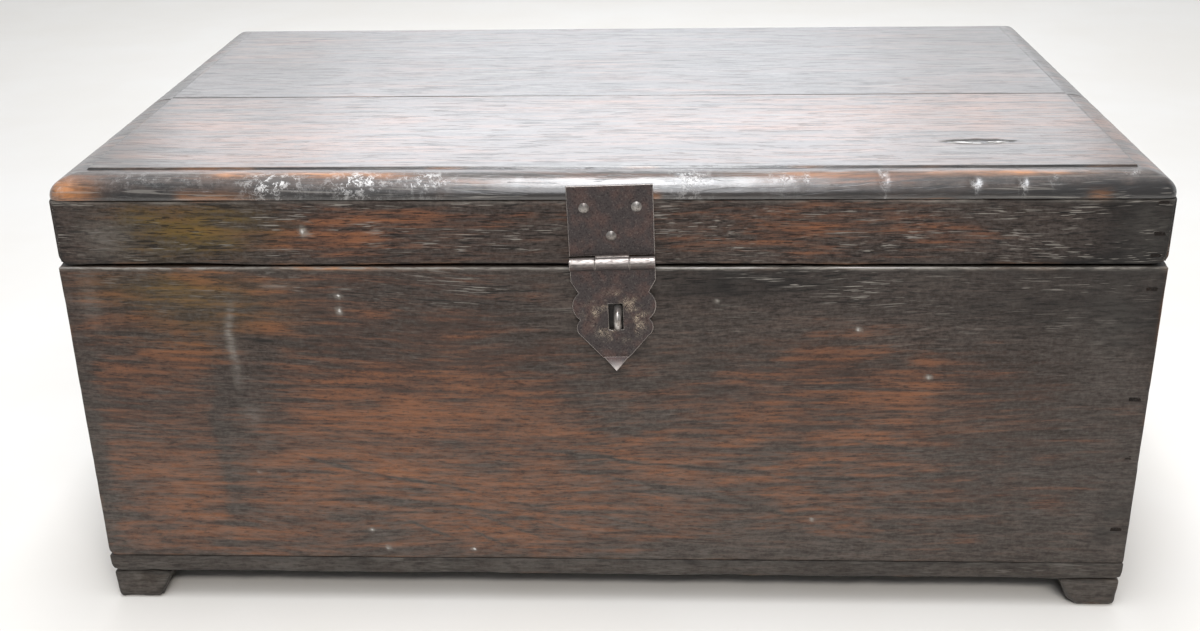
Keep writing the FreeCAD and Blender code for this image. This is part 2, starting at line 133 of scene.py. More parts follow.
def strokes(u, v, table, wander):
    """The sum of soft lines, each (points along u, half width, strength), shifted across by wander."""
    total = np.zeros(len(u))
    for path, half_width, strength in table:
        at_u, at_v = np.array(path).T
        middle = np.interp(u, at_u, at_v) + wander
        begun = smooth(at_u[0] - STROKE_START, at_u[0] + STROKE_START, u)
        ended = smooth(at_u[-1] - STROKE_END, at_u[-1] + STROKE_END, u)
        total += strength * begun * (1 - ended) * np.exp(-(((v - middle) / half_width) ** 2))
    return total


# Box-shaped meshes with a fine grid

# Distances of the close grid lines from an outer edge and from an inner face, in mm
EDGE_STEPS = np.array([0, 0.25, 0.6, 1.0, 1.5, 2.2, 3.0, 4.0, 5.2, 6.6, 8.2, 10.0])
INNER_STEPS = np.array([0, 0.4, 1.2])
# Least gap of the close lines from a board's middle, and their share of its thickness
MIDDLE_GAP, OUTER_SHARE = 0.1, 0.6
# Grid cells along a large cell of a plain face
PLAIN_CELL = 7
# Points of a nail's head lie this near the face, and this near each other, in mm
HEAD_DEPTH, HEAD_SPREAD = 0.8, 9


def lines(low, high, step, extra=()):
    """Grid lines from low to high: close together at both ends, step apart between them."""
    edge = EDGE_STEPS[EDGE_STEPS < (high - low) / 2 - MIDDLE_GAP]
    count = max(2, int(round((high - low - 2 * edge[-1]) / step)) + 1)
    middle = np.linspace(low + edge[-1], high - edge[-1], count)
    all_lines = np.concatenate([low + edge, middle, high - edge, [e for e in extra if low < e < high]])
    return np.unique(np.round(all_lines, 3))


def thick_lines(low, high, sign):
    """Grid lines through a board: close together at its outer face, few at its inner face."""
    edge = EDGE_STEPS[EDGE_STEPS < (high - low) * OUTER_SHARE]
    sides = [high - edge, low + INNER_STEPS] if sign > 0 else [low + edge, high - INNER_STEPS]
    return np.unique(np.round(np.concatenate(sides), 3))


def plain_cells(base, count_a, count_b, step_a, step_b, sign):
    """Large cells of one face, whose border keeps every point that its neighbours have."""
    last_a, last_b = count_a - 1, count_b - 1
    rows_a = [*range(0, last_a, PLAIN_CELL), last_a]
    rows_b = [*range(0, last_b, PLAIN_CELL), last_b]
    cells = []
    for a0, a1 in zip(rows_a, rows_a[1:]):
        for b0, b1 in zip(rows_b, rows_b[1:]):
            ring = [(i, b0) for i in (range(a0, a1) if b0 == 0 else [a0])]
            ring += [(a1, j) for j in (range(b0, b1) if a1 == last_a else [b0])]
            ring += [(i, b1) for i in (range(a1, a0, -1) if b1 == last_b else [a1])]
            ring += [(a0, j) for j in (range(b1, b0, -1) if a0 == 0 else [b1])]
            cells.append(np.array([base + i * step_a + j * step_b for i, j in ring[::sign]]))
    return cells


def shell(xs, ys, zs, plain=None):
    """Points and faces of a box's surface on the given grid lines, with large cells on one plain face."""
    n = [len(xs), len(ys), len(zs)]
    stride = (n[1] * n[2], n[2], 1)
    quads, large = [], []
    for axis, a, b in ((0, 1, 2), (1, 2, 0), (2, 0, 1)):
        for sign in (-1, 1):
            base = (n[axis] - 1) * stride[axis] if sign > 0 else 0
            if (axis, sign) == plain:
                large += plain_cells(base, n[a], n[b], stride[a], stride[b], sign)
                continue
            ia, ib = np.meshgrid(np.arange(n[a] - 1), np.arange(n[b] - 1), indexing="ij")
            start = base + ia * stride[a] + ib * stride[b]
            ring = [start, start + stride[a], start + stride[a] + stride[b], start + stride[b]]
            quads.append(np.stack([r.ravel() for r in ring[::sign]], 1))
    quads = np.concatenate(quads)
    used = np.unique(np.concatenate([quads.ravel(), *large]))
    faces = np.searchsorted(used, quads).tolist() + [np.searchsorted(used, c).tolist() for c in large]
    i, j, k = used // stride[0], used // stride[1] % n[1], used % n[2]
    return np.stack([xs[i], ys[j], zs[k]], 1), faces


def rounded(points, low, high, radius):
    """Rounds the edges of a box's surface by a radius given at each point."""
    r = radius[:, None]
    core = np.clip(points, low + r, high - r)
    out = points - core
    length = np.linalg.norm(out, axis=1, keepdims=True)
    return core + out * r / np.maximum(length, TINY)


def round_edge(points, first, second, radius):
    """Rounds the edge where two faces meet, each (axis, level, sign of its outward side)."""
    (a, level_a, sign_a), (b, level_b, sign_b) = first, second
    out_a = np.maximum(radius - sign_a * (level_a - points[:, a]), 0)
    out_b = np.maximum(radius - sign_b * (level_b - points[:, b]), 0)
    pull = np.maximum(out_a, out_b) / np.maximum(np.hypot(out_a, out_b), TINY)
    inside = (out_a > 0) & (out_b > 0)
    points[:, a] -= np.where(inside, sign_a * out_a * (1 - pull), 0)
    points[:, b] -= np.where(inside, sign_b * out_b * (1 - pull), 0)


def edge_distance(flat, low, high):
    """How far points on a box's surface are from its nearest edge."""
    return np.sort(np.minimum(flat - low, high - flat), axis=1)[:, 1]


def add_object(name, data):
    """A new object in the scene."""
    added = bpy.data.objects.new(name, data)
    bpy.context.scene.collection.objects.link(added)
    return added


def add_piece(node, body, points, faces, masks, material):
    """A worn wooden piece from points in mm, which stands for a CAD node and rides on its body."""
    name = node + "_worn"
    mesh = bpy.data.meshes.new(name)
    mesh.from_pydata((points / MM).tolist(), [], faces)
    mesh.polygons.foreach_set("use_smooth", np.ones(len(faces), bool))
    for key, values in masks.items():
        colour = np.ones((len(points), 4), np.float32)
        colour[:, :3] = np.stack(values, 1)
        layer = mesh.attributes.new(key, "FLOAT_COLOR", "POINT")
        layer.data.foreach_set("color", colour.ravel())
    piece = add_object(name, mesh)
    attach(piece, body)
    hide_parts(node)
    piece.data.materials.append(material)


def nail_heads(node, axis, face):
    """Middles of the nail heads of a CAD node, in mm, next to the given face."""
    points = np.array([v.co for v in NODES[node].data.vertices]) * MM
    heads = points[np.abs(points[:, axis] - face) < HEAD_DEPTH]
    groups = []
    for p in heads:
        near = [g for g in groups if np.linalg.norm(p - g[0]) < HEAD_SPREAD]
        if near:
            near[0].append(p)
        else:
            groups.append([p])
    return [np.mean(g, axis=0) for g in groups]


# Shader graphs


class Graph:
    """A node graph, with short calls for the nodes used here."""

    def __init__(self, tree):
        self.tree = tree
        self.tree.nodes.clear()

    @classmethod
    def new(cls, name):
        """The graph of a new material."""
        material = bpy.data.materials.new(name)
        material.use_nodes = True
        graph = cls(material.node_tree)
        graph.material = material
        return graph

    def node(self, kind, inputs, **settings):
        """A node with some inputs set or linked."""
        node = self.tree.nodes.new("ShaderNode" + kind)
        for key, value in settings.items():
            setattr(node, key, value)
        for key, value in inputs.items():
            if isinstance(value, bpy.types.NodeSocket):
                self.tree.links.new(value, node.inputs[key])
            else:
                node.inputs[key].default_value = value
        return node

    def math(self, operation, a, b=0.0, clamp=False):
        """One sum on one or two values."""
        return self.node("Math", {0: a, 1: b}, operation=operation, use_clamp=clamp).outputs[0]

    def total(self, *terms):
        """The sum of (value, weight) pairs."""
        result, *parts = [self.math("MULTIPLY", value, weight) for value, weight in terms]
        for part in parts:
            result = self.math("ADD", result, part)
        return result

    def blend(self, layers, shares):
        """The sum of named layers, each with its share."""
        return self.total(*((getattr(layers, name), share) for name, share in shares.items()))

    def product(self, result, *values):
        """Several values multiplied, held between 0 and 1."""
        for value in values:
            result = self.math("MULTIPLY", result, value, clamp=True)
        return result

    def vector(self, operation, a, b):
        """One sum on two vectors."""
        return self.node("VectorMath", {0: a, 1: b}, operation=operation).outputs[0]

    def length(self, vector):
        """The length of a vector."""
        return self.node("VectorMath", {0: vector}, operation="LENGTH").outputs["Value"]

    def place(self):
        """The object's own coordinates, in metres."""
        return self.node("TexCoord", {}).outputs["Object"]

    def axes(self, vector):
        """The three parts of a vector."""
        return self.node("SeparateXYZ", {0: vector}).outputs

    def noise(self, vector, factors, detail=2.0, roughness=0.5, distortion=0.0):
        """Noise from 0 to 1, with its frequency per metre along each axis."""
        inputs = {"Vector": self.vector("MULTIPLY", vector, factors), "Scale": 1.0, "Detail": detail}
        inputs.update({"Roughness": roughness, "Distortion": distortion})
        return self.node("TexNoise", inputs).outputs[0]

    def lumps(self, vector, frequency, *more, **named):
        """Noise from 0 to 1, with the same frequency per metre along all axes."""
        return self.noise(vector, (frequency,) * 3, *more, **named)

    def curls(self, vector, frequency, width):
        """Thin curly lines, 1 at their middle."""
        lumps = self.lumps(vector, frequency, distortion=1.5)
        off = self.math("ABSOLUTE", self.math("SUBTRACT", lumps, 0.5))
        return self.ramp(off, width, 0.0)

    def ramp(self, value, low, high, to_low=0.0, to_high=1.0):
        """A smooth step of a value between two levels, which may run down."""
        if low > high:
            low, high, to_low, to_high = high, low, to_high, to_low
        inputs = {0: value, 1: low, 2: high, 3: to_low, 4: to_high}
        return self.node("MapRange", inputs, interpolation_type="SMOOTHSTEP").outputs[0]

    def mix(self, factor, a, b):
        """Two colours mixed."""
        return self.node("Mix", {0: factor, 6: a, 7: b}, data_type="RGBA").outputs[2]

    def attribute(self, name):
        """The three channels of a point attribute."""
        colour = self.node("Attribute", {}, attribute_name=name).outputs["Color"]
        return self.node("SeparateColor", {0: colour}).outputs

    def bump(self, height, distance, strength, **more):
        """A bumped normal from a height from 0 to 1."""
        inputs = {"Height": height, "Distance": distance, "Strength": strength, **more}
        return self.node("Bump", inputs).outputs[0]

    def finish(self, inputs):
        """Closes the graph with one principled shader."""
        shader = self.node("BsdfPrincipled", inputs)
        self.node("OutputMaterial", {0: shader.outputs[0]})
        return self.material

    def metal(self, colour, rough, normal):
        """Closes the graph with a dull metal."""
        return self.finish({"Base Color": colour, "Metallic": 0.85, "Roughness": rough, "Normal": normal})


def rgb(r, g, b):
    """A linear colour with full alpha."""
    return (r, g, b, 1.0)


# Teak

WOOD_RED, WOOD_WARM = rgb(0.052, 0.027, 0.019), rgb(0.172, 0.070, 0.033)
WOOD_BARE, WOOD_GREEN = rgb(0.42, 0.17, 0.055), rgb(0.110, 0.072, 0.013)
WOOD_SOOT, WOOD_FILM = rgb(0.016, 0.012, 0.0095), rgb(0.055, 0.048, 0.044)
WOOD_BLACK = rgb(0.004, 0.0035, 0.0035)
# The first grey is both powdery dust and the silver dashes, which are painted glints along open pores
WOOD_DUST_AND_GLINT, WOOD_SCUFF = rgb(0.21, 0.195, 0.175), rgb(0.62, 0.61, 0.60)
# How the grain sways: frequency per metre along each axis, and reach in metres
SWAY, SWAY_REACH = (3.0, 8.0, 8.0), (0.0, 0.03, 0.03)
# Layers of the grain: frequency per metre along and across it, detail and roughness
GRAIN_LAYERS = dict(
    cloud=(5.0, 14.0, 3.0, 0.5),
    patch=(20.0, 85.0, 4.0, 0.62),
    streak=(20.0, 330.0, 4.0, 0.6),
    fibre=(150.0, 900.0, 4.0, 0.72),
    pore=(80.0, 1100.0, 2.0, 0.5),
    dash=(60.0, 1500.0, 1.0, 0.5),
    flour=(110.0, 520.0, 3.0, 0.6),
)
# Layers without a direction: frequency per metre, detail and roughness
LUMP_LAYERS = dict(stipple=(420.0, 4.0, 0.7), chip=(240.0, 3.0, 0.6))
# Shares of the layers in the warm glow, in the dark film and in the film's soot
GLOW = dict(streak=0.44, fibre=0.24, stipple=0.18, cloud=0.14, warm=0.15)
FILM = dict(patch=0.32, streak=-0.32, cloud=0.10, fibre=0.10, stipple=0.16, dark=0.20, warm=-0.10)
SOOT = dict(fibre=0.4, streak=0.2, stipple=0.4)
# Levels between which one colour turns into the next
WARM_RAMP, BARE_RAMP, FILM_RAMP, SOOT_RAMP = (0.50, 0.70), (0.68, 0.80), (0.08, 0.25), (0.40, 0.60)
FIBRE_RAMP, STAIN_RAMP, PORE_RAMP, CHALK_RAMP = (0.46, 0.37), (0.55, 1.3), (0.58, 0.63), (1.1, 1.9)
# Where the silver dashes, painted glints on the edges of open pores, appear
DASH_RAMP, DASH_PATCH_RAMP = (0.60, 0.67), (0.46, 0.60)
# Curly scratches: frequency per metre and width, and levels at which they break into chips
WIDE_CURLS, FINE_CURLS = (150.0, 0.055), (330.0, 0.06)
CURL_RAMP, CHIP_RAMP = (0.44, 0.56), (0.60, 0.66)
GRAIN_DEPTH = 0.0003


def wood_layers(g, along, shift, squeeze):
    """The layers of noise in the grain, and the masks stored with a piece's points."""
    at = g.place()
    axes = g.axes(at)
    u, v = (axes[0], axes[1]) if along == "X" else (axes[1], axes[0])
    straight = g.vector("ADD", g.node("CombineXYZ", {0: u, 1: v, 2: axes[2]}).outputs[0], shift)
    sway = g.vector("MULTIPLY", straight, SWAY)
    sway = g.node("TexNoise", {"Vector": sway, "Scale": 1.0, "Detail": 2.0}).outputs["Color"]
    sway = g.vector("MULTIPLY", g.vector("SUBTRACT", sway, (0.5, 0.5, 0.5)), SWAY_REACH)
    grain = g.vector("ADD", straight, sway)
    w = SimpleNamespace(at=at)
    for name, (lengthwise, crosswise, detail, roughness) in GRAIN_LAYERS.items():
        across = crosswise * squeeze[1]
        setattr(w, name, g.noise(grain, (lengthwise * squeeze[0], across, across), detail, roughness))
    for name, row in LUMP_LAYERS.items():
        setattr(w, name, g.lumps(at, *row))
    w.warm, w.dark, w.dust = g.attribute("tone")[:3]
    w.green, w.bare, w.scuff = g.attribute("mark")[:3]
    w.glint = g.attribute("spark")[0]
    return w


def aged_colour(g, w):
    """Red and warm streaks, a green stain, a sooty film between the streaks, and bare places."""
    glow = g.blend(w, GLOW)
    colour = g.mix(g.ramp(glow, *WARM_RAMP), WOOD_RED, WOOD_WARM)
    colour = g.mix(g.product(g.ramp(glow, *BARE_RAMP), 0.28), colour, WOOD_BARE)
    colour = g.mix(g.product(w.green, g.ramp(w.patch, 0.3, 0.6, 0.5, 1.0)), colour, WOOD_GREEN)
    grime = g.mix(g.ramp(g.blend(w, SOOT), *SOOT_RAMP), WOOD_SOOT, WOOD_FILM)
    colour = g.mix(g.product(g.ramp(g.blend(w, FILM), *FILM_RAMP), 0.85), colour, grime)
    colour = g.mix(g.product(g.ramp(w.fibre, *FIBRE_RAMP), 0.52), colour, WOOD_BLACK)
    colour = g.mix(g.product(g.ramp(w.dark, *STAIN_RAMP), 0.9), colour, WOOD_BLACK)
    return g.mix(g.product(w.bare, g.ramp(w.fibre, 0.3, 0.6, 0.35, 1.0)), colour, WOOD_BARE)


def worn_colour(g, w, colour):
    """Open pores, silver dashes painted as glints along them, powdery dust and pale scuffs on top, whose
    masks join the layers.
    """
    w.slit = g.product(g.ramp(w.pore, *PORE_RAMP), g.ramp(w.glint, -0.3, 1.0))
    colour = g.mix(g.product(w.slit, 0.8), colour, WOOD_BLACK)
    # Silver dashes: painted glints, as if light caught the edges of the pores
    silver = g.product(g.ramp(w.dash, *DASH_RAMP), w.glint, g.ramp(w.patch, *DASH_PATCH_RAMP))
    colour = g.mix(silver, colour, WOOD_DUST_AND_GLINT)
    w.powder = g.product(w.dust, g.ramp(w.flour, 0.36, 0.62, 0.35, 1.0))
    colour = g.mix(w.powder, colour, WOOD_DUST_AND_GLINT)
    curl = g.math("MAXIMUM", g.curls(w.at, *WIDE_CURLS), g.product(g.curls(w.at, *FINE_CURLS), 0.8))
    w.curl = g.math("MAXIMUM", g.product(curl, g.ramp(w.chip, *CURL_RAMP)), g.ramp(w.chip, *CHIP_RAMP))
    colour = g.mix(g.product(w.scuff, 0.7), colour, WOOD_SOOT)
    scratch = g.product(w.scuff, g.math("ADD", w.curl, 0.05))
    w.chalk = g.math("MAXIMUM", scratch, g.ramp(w.dust, *CHALK_RAMP))
    return g.mix(w.chalk, colour, WOOD_SCUFF)


def teak(name, along, shift, squeeze=(1.0, 1.0), rough=0.5, relief=1.0, coat=0.0, specular=0.25):
    """Old teak with its grain along X or Y, under a patchy dark film.

    shift moves the pattern, squeeze packs it along and across the grain, rough is the mean roughness,
    relief the depth of the open grain, coat the weight of a wax polish and specular the wood's own gloss.
    """
    g = Graph.new(name)
    w = wood_layers(g, along, shift, squeeze)
    colour = worn_colour(g, w, aged_colour(g, w))
    matt = g.ramp(w.cloud, 0.3, 0.7, rough - 0.04 * relief, rough + 0.05 * relief)
    matt = g.math("ADD", matt, g.total((w.slit, 0.15), (w.powder, 0.2), (w.chalk, 0.2)), clamp=True)
    height = g.total((w.fibre, 0.7), (w.slit, -0.9), (w.patch, 0.5 * relief))
    height = g.math("SUBTRACT", height, g.product(w.scuff, w.curl, 0.8))
    normal = g.bump(height, GRAIN_DEPTH, 0.5 * relief)
    wood = {"Base Color": colour, "Roughness": matt, "Normal": normal, "IOR": 1.5}
    wax = {"Coat Weight": coat, "Coat Roughness": 0.2, "Coat IOR": 1.9, "Coat Normal": normal}
    return g.finish({**wood, "Specular IOR Level": specular, **wax})


# Iron

IRON_SKIN, IRON_RUST = rgb(0.061, 0.052, 0.052), rgb(0.088, 0.060, 0.055)
# IRON_EDGE is bright worn iron, also used for the painted highlights on barrels and on the flap's tip;
# IRON_RIM is the pale of rubbed edges, partly painted highlight
IRON_EDGE, IRON_RIM, IRON_GOLD = rgb(0.40, 0.36, 0.335), rgb(0.58, 0.53, 0.49), rgb(0.46, 0.39, 0.30)
IRON_RELIEF, PLATE_ROUGH = 0.0005, 0.42
# Frequency per metre, detail and roughness
BLOTCH, GRIT = (110.0, 5.0, 0.6), (1100.0, 3.0, 0.6)
# Radii in metres over which a barrel's wear and painted highlight, and a slot's scratches, fade
BARREL_FADE, RING_INNER, RING_OUTER = (0.0050, 0.0040), (0.004, 0.009), (0.018, 0.011)
# Length of the painted highlight on a flap's bent tip, and radius of the eased edges, which are rubbed pale
# and carry a painted highlight, in metres
TIP_HIGHLIGHT_FADE, RIM_RADIUS = 0.007, 0.0007
# Agreement of the eased normal with the face's own, from plain to a rubbed edge with painted highlight
RIM_RAMP = (0.99, 0.92)


def iron_inputs(g, skin, rust, rough):
    """Place, colour, roughness and relief of patinated iron, before any wear."""
    at = g.place()
    blotch = g.lumps(at, *BLOTCH)
    grit = g.lumps(at, *GRIT)
    colour = g.mix(g.ramp(blotch, 0.42, 0.66), skin, rust)
    colour = g.mix(g.product(g.ramp(grit, 0.56, 0.72), 0.16), colour, IRON_EDGE)
    colour = g.mix(g.product(g.ramp(grit, 0.46, 0.32), 0.6), colour, WOOD_BLACK)
    matt = g.math("ADD", rough, g.total((grit, 0.25), (blotch, -0.2)), clamp=True)
    return at, colour, matt, g.total((blotch, 1.0), (grit, 0.3))


def iron(name, skin, rust, rough):
    """Patinated iron all over."""
    g = Graph.new(name)
    _, colour, matt, height = iron_inputs(g, skin, rust, rough)
    return g.metal(colour, matt, g.bump(height, IRON_RELIEF, 0.5))


def barrel_wear_and_highlight(g, at, wear, pin, tilt):
    """A mask of bright wear on the barrel round a pin, stronger on its upper half as a painted highlight."""
    x, y, z = g.axes(at)[:3]
    axis_z = g.total((x, tilt), (1.0, pin[2] - tilt * pin[0]))
    rise = g.math("SUBTRACT", z, axis_z)
    off = g.node("CombineXYZ", {0: 0.0, 1: g.math("SUBTRACT", y, pin[1]), 2: rise}).outputs[0]
    # Lighter on the upper half: painted highlight from the light above
    upper = g.ramp(rise, -0.0012, 0.0022, 0.05, 1.0)
    return g.product(g.ramp(g.length(off), *BARREL_FADE), upper, g.ramp(wear, 0.32, 0.58, 0.35, 1.0))


def slot_scratches(g, at, slot):
    """A mask of curly scratches in a ring round a slot."""
    aim = g.vector("SUBTRACT", at, slot)
    span = g.length(g.vector("MULTIPLY", aim, (0.85, 0.0, 1.0)))
    ring = g.product(g.ramp(span, *RING_INNER), g.ramp(span, *RING_OUTER))
    return g.product(ring, g.ramp(g.lumps(at, 120.0), 0.45, 0.6), g.curls(at, 650.0, 0.06))


def plate_iron(name, pin, tilt, slot=None, tip_z=None):
    """Patinated sheet iron with edges rubbed pale and lit as a painted highlight, a barrel worn bright with
    a painted highlight on its upper half, a tip lit as a painted highlight, and scratches round a slot.

    pin is a point on the pin, in metres, and tilt the pin's rise along x. slot is the slot's middle and
    tip_z the height of the tip's bend.
    """
    g = Graph.new(name)
    at, colour, matt, height = iron_inputs(g, IRON_SKIN, IRON_RUST, PLATE_ROUGH)
    wear = g.noise(at, (260.0, 900.0, 900.0), 3.0, 0.6)
    # The barrel worn bright, with a painted highlight on its upper half
    bright = barrel_wear_and_highlight(g, at, wear, pin, tilt)
    if slot:
        colour = g.mix(slot_scratches(g, at, slot), colour, IRON_GOLD)
    # A painted highlight on the bent tip, which catches the light
    if tip_z:
        tip = g.ramp(g.axes(at)[2], tip_z, tip_z - TIP_HIGHLIGHT_FADE)
        bright = g.math("MAXIMUM", bright, g.product(tip, 0.9))
    eased = g.node("Bevel", {"Radius": RIM_RADIUS}, samples=4).outputs[0]
    facing = g.node("NewGeometry", {}).outputs["True Normal"]
    turn = g.node("VectorMath", {0: eased, 1: facing}, operation="DOT_PRODUCT").outputs["Value"]
    # Edges rubbed pale, partly a painted highlight
    rim = g.product(g.ramp(turn, *RIM_RAMP), g.ramp(wear, 0.30, 0.52, 0.5, 1.0))
    colour = g.mix(g.product(bright, 0.9), colour, IRON_EDGE)
    colour = g.mix(rim, colour, IRON_RIM)
    matt = g.math("SUBTRACT", matt, g.product(bright, 0.12), clamp=True)
    return g.metal(colour, matt, g.bump(height, IRON_RELIEF, 0.45, Normal=eased))


# Boards

# Grid lines round a nail's pit, along its length and across it, in mm from its middle
PIT_LINES_LONG = (-4.2, -3.4, -1.6, -0.8, 0.8, 1.6, 3.4, 4.2)
PIT_LINES_SHORT = (-1.9, -0.9, 0.9, 1.9)
# Distances from a pit's middle over which it fades, along its length and across it
PIT_LONG_FADE, PIT_SHORT_FADE = (2.6, 4.1), (0.6, 1.8)
# Depth of a nail's pit: at the front's left end the nails are closed over with old polish
OPEN_PIT, COVERED_PIT = 0.95, 0.25
# Nails nearer to a plank's end than this have pits across it
END_NAIL_INSET = 20.0
# How deep under the weathered face the wear fades, and how far a wavy edge's wave reaches
WEAR_FADE, WAVE_REACH = (2, 8), 3.5


def board_grid(low, high, along, steps, outer, nails):
    """Grid lines of a board along the three axes, with more of them round its nails."""
    near = [[], [], []]
    for nail_axis, _, p in nails:
        for other in {0, 1, 2} - {nail_axis}:
            near[other] += [p[other] + d for d in (PIT_LINES_LONG if other < 2 else PIT_LINES_SHORT)]
    grid = [lines(low[k], high[k], steps[k != "XYZ".index(along)], near[k]) for k in range(3)]
    axis, sign = outer
    grid[axis] = thick_lines(low[axis], high[axis], sign)
    return grid


def press_pits(points, flat, low, high, nails):
    """Presses a ragged pit into a board over each nail's head."""
    for axis, sign, p in nails:
        a, b = sorted({0, 1, 2} - {axis})
        if axis == 2 and abs(p[0]) >= high[0] - END_NAIL_INSET:
            a, b = b, a
        on_face = np.abs(flat[:, axis] - face_level(low, high, axis, sign)) < 0.01
        da, db = np.abs(flat[:, a] - p[a]), np.abs(flat[:, b] - p[b])
        pit = (1 - smooth(*PIT_LONG_FADE, da)) * (1 - smooth(*PIT_SHORT_FADE, db))
        pit *= np.clip(0.75 + 0.7 * noise(flat, (3.1, 3.1, 1.6), 58), 0, 1)
        covered = sign < 0 and axis == 1 and p[0] < 0
        points[on_face, axis] -= sign * (COVERED_PIT if covered else OPEN_PIT) * pit[on_face]


def board_piece(node, body, along, steps, outer, rounds, shift, marks=None, pits=(), waves=(), ends=()):
    """A worn board in the place of a CAD board.

    steps is (lengthwise, across) of its grid, outer is (axis, sign) of the weathered face and rounds is
    (outer edge radius, inner edge radius). marks(points, masks) adds the board's stains. pits lists
    (axis, sign, node of nails). waves lists (sign, depth) of wavy upper or lower edges. ends lists
    (x side, radius of the lower edge, radius of the outer corner) of round ends.
    """
    low, high = box_mm(node)
    nails = []
    for nail_axis, nail_sign, nail_node in pits:
        heads = nail_heads(nail_node, nail_axis, face_level(low, high, nail_axis, nail_sign))
        nails += [(nail_axis, nail_sign, p) for p in heads]
    axis, sign = outer
    flat, faces = shell(*board_grid(low, high, along, steps, outer, nails), (axis, -sign))
    outside = 1 - smooth(*WEAR_FADE, np.abs(flat[:, axis] - face_level(low, high, axis, sign)))
    wander = 0.75 + 0.45 * rough_noise(flat, 38, 3)
    wander += 0.35 * np.maximum(0, noise(flat, 9, 8))
    radius = (rounds[1] + (rounds[0] - rounds[1]) * outside) * np.clip(wander, 0.3, 2.2)
    points = rounded(flat, low, high, radius)
    swell = 0.22 * rough_noise(flat, (70, 70, 34), 5) + 0.07 * noise(flat, (16, 16, 9), 6)
    points[:, axis] -= sign * outside * (0.18 + swell)
    for edge_sign, wave_depth in waves:
        close = np.exp(-np.abs(flat[:, 2] - face_level(low, high, 2, edge_sign)) / WAVE_REACH) * outside
        wave = 0.65 + 0.5 * rough_noise(flat * (1, 0, 0), (45, 1, 1), 57)
        points[:, 2] -= edge_sign * wave_depth * wave * close
    for end, lower_round, corner_round in ends:
        tip = (0, face_level(low, high, 0, end), end)
        round_edge(points, tip, (2, low[2], -1), lower_round)
        if corner_round:
            round_edge(points, tip, (1, face_level(low, high, 1, sign), sign), corner_round)
    press_pits(points, flat, low, high, nails)
    masks = wood_masks(flat, edge_distance(flat, low, high), outside)
    if marks:
        marks(flat, masks)
    add_piece(node, body, points, faces, masks, teak("teak_" + node, along, shift))


def wood_masks(flat, edge, outside):
    """Everyday masks: darkened edges, some rubbed arrises, and uneven warmth."""
    warm = np.clip(0.5 + 0.35 * rough_noise(flat, (120, 120, 30), 21), 0, 1)
    dark = 0.45 * np.exp(-edge / 5.0) + 0.25 * np.maximum(0, rough_noise(flat, (60, 60, 40), 22))
    dark = np.clip(dark, 0, 1)
    dust = 0.08 * np.maximum(0, rough_noise(flat, (30, 30, 20), 23))
    rub = np.exp(-edge / 0.9) * smooth(0.15, 0.55, noise(flat, (22, 22, 14), 24))
    zero = np.zeros(len(flat))
    glint = np.full(len(flat), 0.25)
    return {
        "tone": [warm, dark, dust],
        "mark": [zero.copy(), 0.35 * rub * outside, zero.copy()],
        "spark": [glint, zero, zero],
    }


# Stains of the front board and the rail above it, with some painted shade, shadow, highlight and glints

# The warm and dark masks go up to this level
TONE_TOP = 1.3
# Spots: x from the middle, z up from the front board's top edge, radii and strength, in mm
FRONT_WARM = [
    (-229, -10, 13, 7, 0.5), (-190, -36, 22, 6, 0.6), (-245, -52, 20, 12, 0.35), (-130, -85, 44, 20, 0.45),
    (-70, -90, 46, 16, 0.35), (-170, -112, 60, 24, 0.25), (-246, -146, 22, 20, 0.4),
    (-100, -152, 80, 24, 0.2), (140, -46, 30, 8, 0.4), (177, -48, 8, 14, 0.25), (176, -84, 9, 26, 0.15),
    (152, -82, 32, 5, 0.45), (190, -76, 20, 4, 0.35), (82, -108, 15, 4, 0.5), (40, -129, 28, 6, 0.35),
    (98, -128, 13, 5, 0.4), (143, -106, 26, 4, 0.5), (163, -125, 44, 5, 0.4), (253, -140, 17, 9, 0.3),
    (52, -25, 10, 4, 0.3),
]
FRONT_COOL = [(120, -14, 160, 18, 0.35), (255, -60, 60, 90, 0.35), (0, -184, 320, 8, 0.3)]
# Dark spots, mostly stains; the first is painted shadow in the hasp's slot, on the wood behind it, and the
# ones at (75, -10) and (20, -48) are painted shade on the upper front
FRONT_DARK = [
    (6.5, -29, 5, 9, 2.5), (0, -82, 40, 20, 0.4), (-120, -19, 32, 10, 0.35), (-199, -50, 10, 8, 0.45),
    (75, -10, 60, 12, 0.5), (285, -60, 22, 50, 0.35), (-137, -163, 22, 20, 0.35), (95, -178, 70, 11, 0.45),
    (221, -132, 9, 5, 0.6), (237, -119, 8, 4, 0.6), (292, -156, 14, 32, 0.6), (-300, -110, 6, 80, 0.5),
    (112, -113, 38, 3.5, 0.45), (-250, -34, 60, 28, 0.2), (-205, -70, 22, 40, 0.3), (230, -30, 70, 26, 0.3),
    (20, -48, 60, 12, 0.35), (-20, -30, 50, 14, 0.25), (230, -170, 60, 14, 0.35),
]
FRONT_DUST = [
    (-206, -92, 5, 6, 0.3), (-184, -11.5, 9, 1.0, 0.5), (-290, -21, 5, 16, 0.25), (280, -40, 20, 40, 0.1),
    (-149, -17.2, 1.5, 1.3, 2.0), (-149.3, -26.2, 1.5, 2.0, 2.0), (140.5, -37.3, 1.5, 1.2, 2.0),
    (181.3, -66.6, 1.6, 1.1, 2.0), (-142, -169.5, 1.3, 1.2, 1.6), (-133, -182, 1.3, 1.2, 1.6),
    (-81, -182.3, 1.4, 1.2, 2.0), (120, -160, 1.1, 1.0, 1.4), (-206, -130, 1.1, 1.0, 1.4),
    (62, -20, 1.2, 1.0, 1.4),
]
FRONT_GREEN = [(-255, -12, 36, 10, 0.5), (-225, -26, 40, 20, 0.5)]
